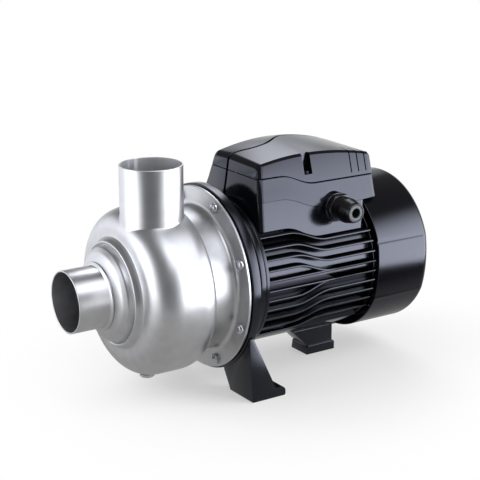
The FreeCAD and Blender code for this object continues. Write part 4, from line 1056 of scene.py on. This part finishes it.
def frontGroove(z0, z1):
    # Upright cut of the front face, in line with the start of the ridge.
    x, deep, half = box["ridgeX"], box["ridgeDepth"], box["ridgeHalf"]
    low, high = boxFront(z0), boxFront(z1)
    outline = [(low - 6, z0), (low + deep, z0), (high + deep, z1), (high - 6, z1)]
    return prism(outline, x - half, x + half, alongX)


def makeLid():
    b = box
    lid = boolean(lidForm(0.0), lidForm(b["wall"]))
    half, top = b["grooveHalf"], b["cutTop"]
    cuts = []
    for y in b["grooveYs"]:
        for side in (1, -1):
            x0, x1 = sorted(side * x for x in b["grooveX"])
            cuts.append(blockPart(x0, x1, y - half, y + half, b["grooveZ"], top))
    cutter = boolean(meshObject("grooves", cuts), lidForm(b["grooveDepth"]))
    joinInto(cutter, [meshObject("slots", [slotBlock(1), slotBlock(-1), frontGroove(90.0, top)])])
    boolean(lid, cutter)
    joinInto(lid, [slotWalls(1), slotWalls(-1)])
    smooth(lid.data)
    dress(lid, materials["box_plastic"], "box_plastic", "terminal_box_lid")


def boxRing(height, inset, rear):
    # One closed line round the box; height gives z from y, rear gives the rear y from z.
    b = box
    r = b["round"]
    points = []

    def corner(z, cx, cy, start):
        turn = math.radians(start)
        for degrees in (18, 34, 56, 72):
            u, v = cornerPoint(degrees)
            du, dv = u * math.cos(turn) - v * math.sin(turn), u * math.sin(turn) + v * math.cos(turn)
            points.append((cx + (r - inset) * du, cy + (r - inset) * dv, z))

    count = b["ringSteps"]
    for side in (1, -1):
        for k in range(count + 1):
            share = k / count if side > 0 else 1 - k / count
            guess = b["frontY"] + share * (rear(height(b["rearY"])) - b["frontY"])
            z = height(guess)
            y0, y1 = boxFront(z) + r, rear(z) - r
            points.append((side * (boxSide(z) - inset), y0 + share * (y1 - y0), z))
        if side > 0:
            z = points[-1][2]
            corner(z, boxSide(z) - r, rear(z) - r, 0)
            points.append((boxSide(z) - r, rear(z) - inset, z))
            points.append((r - boxSide(z), rear(z) - inset, z))
            corner(z, r - boxSide(z), rear(z) - r, 90)
    z = points[-1][2]
    corner(z, r - boxSide(z), boxFront(z) + r, 180)
    points.append((r - boxSide(z), boxFront(z) + inset, z))
    points.append((boxSide(z) - r, boxFront(z) + inset, z))
    corner(z, boxSide(z) - r, boxFront(z) + r, 270)
    return points


def makeBoxBase():
    b = box

    def skirt(y):
        return b["skirtZ"] - b["skirtDrop"] * waveShare(y)

    def crease(y):
        return b["creaseZ"] - b["creaseDrop"] * waveShare(y, *b["creaseWave"])

    def heel(z):
        return b["stepY"] + (z - b["stepZ"]) * (b["stepY"] - b["heelY"]) / (b["stepZ"] - b["heelZ"])

    def rear(z):
        return b["rearY"]

    rows = [(skirt, 0.0, heel), (lambda y: (skirt(y) + crease(y)) / 2, 0.0, heel),
            (lambda y: crease(y) - 0.5, 0.0, heel), (crease, -0.45, heel),
            (lambda y: crease(y) + 1.0, -0.45, rear), (lambda y: crease(y) + 8.0, 0.0, rear),
            (lambda y: partingZ(y) - b["gap"] - 0.5, 0.0, rear), (lambda y: partingZ(y) - b["gap"], 0.5, rear)]
    rings = [boxRing(*row) for row in rows]
    verts = [point for ring in rings for point in ring]
    base = meshObject("box_base", [(verts, gridFaces(len(rows), len(rings[0]), False, True))])
    solidify(base, b["wall"])
    g = gland
    hole = pin(g["bossR"] - 2, -30, 5, glandSeat(), (1, 0, 0))
    boolean(base, meshObject("hole", [hole, frontGroove(48.0, 106.0)]))
    boss = [(g["threadR"], -12, 0), (g["bossR"], -12, 0), (g["bossR"], 0, 0.8), (g["threadR"], 0, 0)]
    joinInto(base, [meshObject("boss", [glandRing(boss, 4, 72)])])
    dress(base, materials["box_plastic"], "box_plastic", "terminal_box_base")


# Cable gland

gland = {
    "y": 127.0, "z": 65.0, "bossR": 14.6, "threadR": 8.0, "flats": 26.0, "hexT": 6.0, "nutR": 12.5,
    "tipR": 9.8, "nutLength": 24.0, "boreR": 8.0, "sealR": 5.0, "flutes": 12, "fluteDepth": 0.5,
    "passR": 7.0, "neckR": 7.9, "stemR": 9.3, "nutBoreR": 9.6,
}


def glandSeat():
    z = gland["z"] - gland["bossR"]
    return boxSide(z), gland["y"], gland["z"]


def glandRing(corners, arcSteps=4, steps=64):
    # Rounded ring about the gland's axis, from (radius, height over the seat, rounding) corners.
    return turnedAlong(roundPath(corners, True, arcSteps), glandSeat(), (1, 0, 0), steps)


def makeGland():
    g = gland
    seatX, y, z = glandSeat()
    corner = g["flats"] / math.sqrt(3)
    outline = [(y + corner * math.cos(math.radians(60 * k)), z + corner * math.sin(math.radians(60 * k)))
               for k in range(6)]
    body = bevel(meshObject("gland_hex", [prism(outline, seatX + 0.1, seatX + g["hexT"], alongX)]), 0.7, 3)
    inner, neck, stem, core = g["passR"], g["neckR"], g["stemR"], g["nutBoreR"]
    boolean(body, meshObject("bore", [pin(inner, -20, 20, glandSeat(), (1, 0, 0))]))
    sleeve = [(inner, -7.5, 0), (neck, -7.5, 0), (neck, 1.0, 0), (stem, 1.0, 0), (stem, 17, 0.4),
              (inner, 17, 0)]
    joinInto(body, [meshObject("sleeve", [glandRing(sleeve, 3)])])
    dress(body, materials["gland_plastic"], "gland_plastic", "gland_body")
    start, end = g["hexT"] + 0.3, g["hexT"] + 0.3 + g["nutLength"]
    wall = roundPath([(core, start, 0), (g["nutR"], start, 0.8), (g["nutR"], start + 12, 3.0),
                      (g["tipR"] + 0.6, end - 3.0, 2.0), (g["tipR"] - 0.6, end, 1.2), (g["boreR"], end, 0.6),
                      (g["boreR"], end - 6, 0), (core, end - 10, 0)], True, 5)
    verts, faces = turnedAlong(wall, (0, 0, 0), (1, 0, 0), 144)
    fluted = []
    for px, py, pz in verts:
        r = math.hypot(py, pz)
        turn = math.atan2(pz, py)
        cut = max(0.0, math.cos(g["flutes"] * turn)) ** 4 * g["fluteDepth"]
        share = 1.0 if r > 11.5 and start + 1.5 < px < start + 11.5 else 0.0
        scale = 1 - share * cut / max(r, 1.0)
        fluted.append((seatX + px, y + py * scale, z + pz * scale))
    nut = meshObject("gland_nut_cap", [(fluted, faces)])
    dress(nut, materials["gland_plastic"], "gland_plastic", "gland_nut")
    lip, edge, lead = end - 0.5, g["boreR"] - 0.1, g["sealR"]
    ring = [(lead, lip - 1.5, 0), (edge, lip - 1.5, 0), (edge, lip, 0.4), (lead, lip, 0.3)]
    seal = meshObject("gland_seal_ring", [glandRing(ring)])
    dress(seal, materials["grey_rubber"], "rubber", "gland_seal")
    # Near-black sleeve lining the seal's deep bore, apart from the grey seal ring: painted shade inside the
    # gland.
    throat = [(lead + 0.2, 2.5, 0), (inner - 0.1, 2.5, 0), (inner - 0.1, end - 9.0, 0), (edge, end - 6.0, 0),
              (edge, lip - 1.6, 0), (lead + 0.2, lip - 1.6, 0)]
    dress(meshObject("gland_seal_throat", [glandRing(throat)]), materials["fan_plastic"], "rubber")


# Fan cover with its ring grille

cover = {
    "r": 80.0, "flat": 2.2, "highZ": 26.0, "lowZ": -34.0, "frontY": 165.4, "rearY": 232.5, "round": 14.0,
    "wall": 2.5, "hubR": 20.0, "grilleR": 63.0, "press": 1.9, "pressWidth": 0.022,
    "lowPress": -0.25, "fade": (196.0, 222.0), "plainR": 67.0, "sharp": 12, "steps": 720,
}
grille = {
    "Rings": 3, "First radius": 29.5, "Ring pitch": 12.0, "Ring width": 5.0, "Bars": 6, "Bar width": 6.0,
    "Depth": cover["wall"], "Hub radius": cover["hubR"], "Outer radius": cover["grilleR"],
}


def coverRadius(r, y, angle):
    # Slightly flatter sides between the two creases. The line pressed in at the upper crease and the faint
    # one raised at the lower fade towards the rear disc.
    c = cover
    high, low = math.asin(c["highZ"] / c["r"]), math.asin(c["lowZ"] / c["r"])
    turn = angle if angle <= math.pi else angle - 2 * math.pi
    if abs(turn) > math.pi / 2:
        turn = math.copysign(math.pi, turn) - turn
    fade = 1 - waveShare(y, *c["fade"])
    groove = c["press"] * fade * math.exp(-((turn - high) / c["pressWidth"]) ** 2)
    groove += c["lowPress"] * c["press"] * fade * math.exp(-((turn - low) / c["pressWidth"]) ** 2)
    if r < c["plainR"]:
        return r
    if not low < turn < high:
        return r - groove * r / c["r"]
    share = (turn - low) / (high - low)
    depth = c["flat"] * (1 - (2 * share - 1) ** 2)
    return r - (depth + groove) * r / c["r"]


def grilleTree(sizes):
    # Concentric rings and radial bars between the hub disc and the rim.
    tree, given = newTree("ring_grille", sizes)
    ringLine = addNode(tree, "GeometryNodeMeshLine", None, {"Count": given["Rings"], "Offset": (0, 0, 0)})
    index = addNode(tree, "GeometryNodeInputIndex").outputs[0]
    radius = mathNode(tree, "MULTIPLY_ADD", index, given["Ring pitch"], given["First radius"])
    circle = addNode(tree, "GeometryNodeCurvePrimitiveCircle", None, {"Resolution": 120, "Radius": 1.0})
    rings = addNode(tree, "GeometryNodeInstanceOnPoints", None,
                    {"Points": ringLine.outputs[0], "Instance": circle.outputs[0], "Scale": radius})
    loose = addNode(tree, "GeometryNodeRealizeInstances", None, {"Geometry": rings.outputs[0]})
    quad = addNode(tree, "GeometryNodeCurvePrimitiveQuadrilateral", None,
                   {"Width": given["Ring width"], "Height": given["Depth"]})
    swept = addNode(tree, "GeometryNodeCurveToMesh", None,
                    {"Curve": loose.outputs[0], "Profile Curve": quad.outputs[0]})
    reach = mathNode(tree, "SUBTRACT", given["Outer radius"], given["Hub radius"])
    size = addNode(tree, "ShaderNodeCombineXYZ", None,
                   {"X": mathNode(tree, "ADD", reach, 2.0), "Y": given["Bar width"],
                    "Z": mathNode(tree, "SUBTRACT", given["Depth"], 0.1)})
    bar = addNode(tree, "GeometryNodeMeshCube", None, {"Size": size.outputs[0]})
    middle = mathNode(tree, "MULTIPLY_ADD", mathNode(tree, "ADD", given["Outer radius"], given["Hub radius"]),
                      0.5, 0.0)
    out = addNode(tree, "ShaderNodeCombineXYZ", None, {"X": middle})
    moved = addNode(tree, "GeometryNodeTransform", None,
                    {"Geometry": bar.outputs[0], "Translation": out.outputs[0]})
    barLine = addNode(tree, "GeometryNodeMeshLine", None, {"Count": given["Bars"], "Offset": (0, 0, 0)})
    step = mathNode(tree, "DIVIDE", 2 * math.pi, given["Bars"])
    turn = mathNode(tree, "MULTIPLY_ADD", index, step, math.radians(30))
    spin = addNode(tree, "ShaderNodeCombineXYZ", None, {"Z": turn})
    bars = addNode(tree, "GeometryNodeInstanceOnPoints", None,
                   {"Points": barLine.outputs[0], "Instance": moved.outputs[0], "Rotation": spin.outputs[0]})
    both = addNode(tree, "GeometryNodeJoinGeometry")
    tree.links.new(swept.outputs[0], both.inputs[0])
    tree.links.new(bars.outputs[0], both.inputs[0])
    endTree(tree, both.outputs[0], given["Material"])
    return tree


def makeFanCover():
    c = cover
    inner, rear = c["r"] - c["wall"], c["rearY"] - c["wall"]
    wall = roundPath([
        (inner, c["frontY"], 0), (c["r"], c["frontY"], 0.8), (c["r"], c["rearY"], c["round"]),
        (c["grilleR"], c["rearY"], 0.5), (c["grilleR"], rear, 0),
        (inner, rear, c["round"] - c["wall"])], True, 12)
    shell = meshObject("cooling_cover", [lathe(wall, c["steps"], coverRadius)], c["sharp"])
    face = c["rearY"] - 0.1
    hub = roundPath([(0, face, 0), (c["hubR"], face, 1.0), (c["hubR"], rear, 0), (0, rear, 0)], steps=4)
    disc = meshObject("hub", [lathe(hub, 96, closed=False)])
    bars = meshObject("bars", [([(0, 0, 0), (1, 0, 0), (0, 1, 0)], [(0, 1, 2)])])
    sizes = dict(grille, Material=materials["cover_plastic"])
    runTree(bars, grilleTree(sizes), sizes)
    upright = Matrix.Rotation(math.pi / 2, 4, "X")
    seat = Matrix.Translation((0, flangeY + (c["rearY"] - c["wall"] / 2) * mm, shaftZ))
    bars.data.transform(seat @ Matrix.Scale(mm, 4) @ upright)
    joinInto(shell, [disc, bars])
    smooth(shell.data, c["sharp"])
    dress(shell, materials["cover_plastic"], "cover_plastic", "fan_cover")


# Rear foot

rearFoot = {"half": 14.0, "webHalf": 12.5, "topZ": -76.3, "lipZ": -95.5, "toeY": 124.0, "rearY": 160.0,
            "webFrontY": 106.5, "webRearY": 158.0}


def makeRearFoot():
    f = rearFoot
    web = [(f["webFrontY"], f["topZ"]), (f["toeY"] + 1.5, f["lipZ"]), (f["toeY"] + 1.5, f["lipZ"] - 2),
           (f["webRearY"], f["lipZ"] - 2), (f["webRearY"], f["topZ"])]
    pad = roundPath([(f["toeY"] + 1.2, f["lipZ"], 1.5), (f["rearY"], f["lipZ"], 1.5), (f["rearY"], ground, 0.6),
                     (f["toeY"], ground, 0.6)], True, 4)
    foot = bevel(meshObject("rear_stand", [prism(web, -f["webHalf"], f["webHalf"], alongX)]), 1.2, 3)
    base = bevel(meshObject("pad", [prism(pad, -f["half"], f["half"], alongX)]), 1.0, 3)
    dress(joinInto(foot, [base]), materials["motor_paint"], "motor_paint", "rear_foot")


print("bolts and bracket")
makeBolts()
makeBracket()
print("motor body")
makeMotorBody()
print("terminal box")
makeBoxBase()
makeLid()
makeGland()
print("fan cover and foot")
makeFanCover()
makeRearFoot()


# CAD pieces that stay get the same materials

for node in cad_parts.values():
    for place in node.material_slots:
        if place.material and place.material.name in materials:
            place.material = materials[place.material.name]

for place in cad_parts["lid_screws"].material_slots:
    place.material = materials["black_screw"]

bpy.context.view_layer.update()
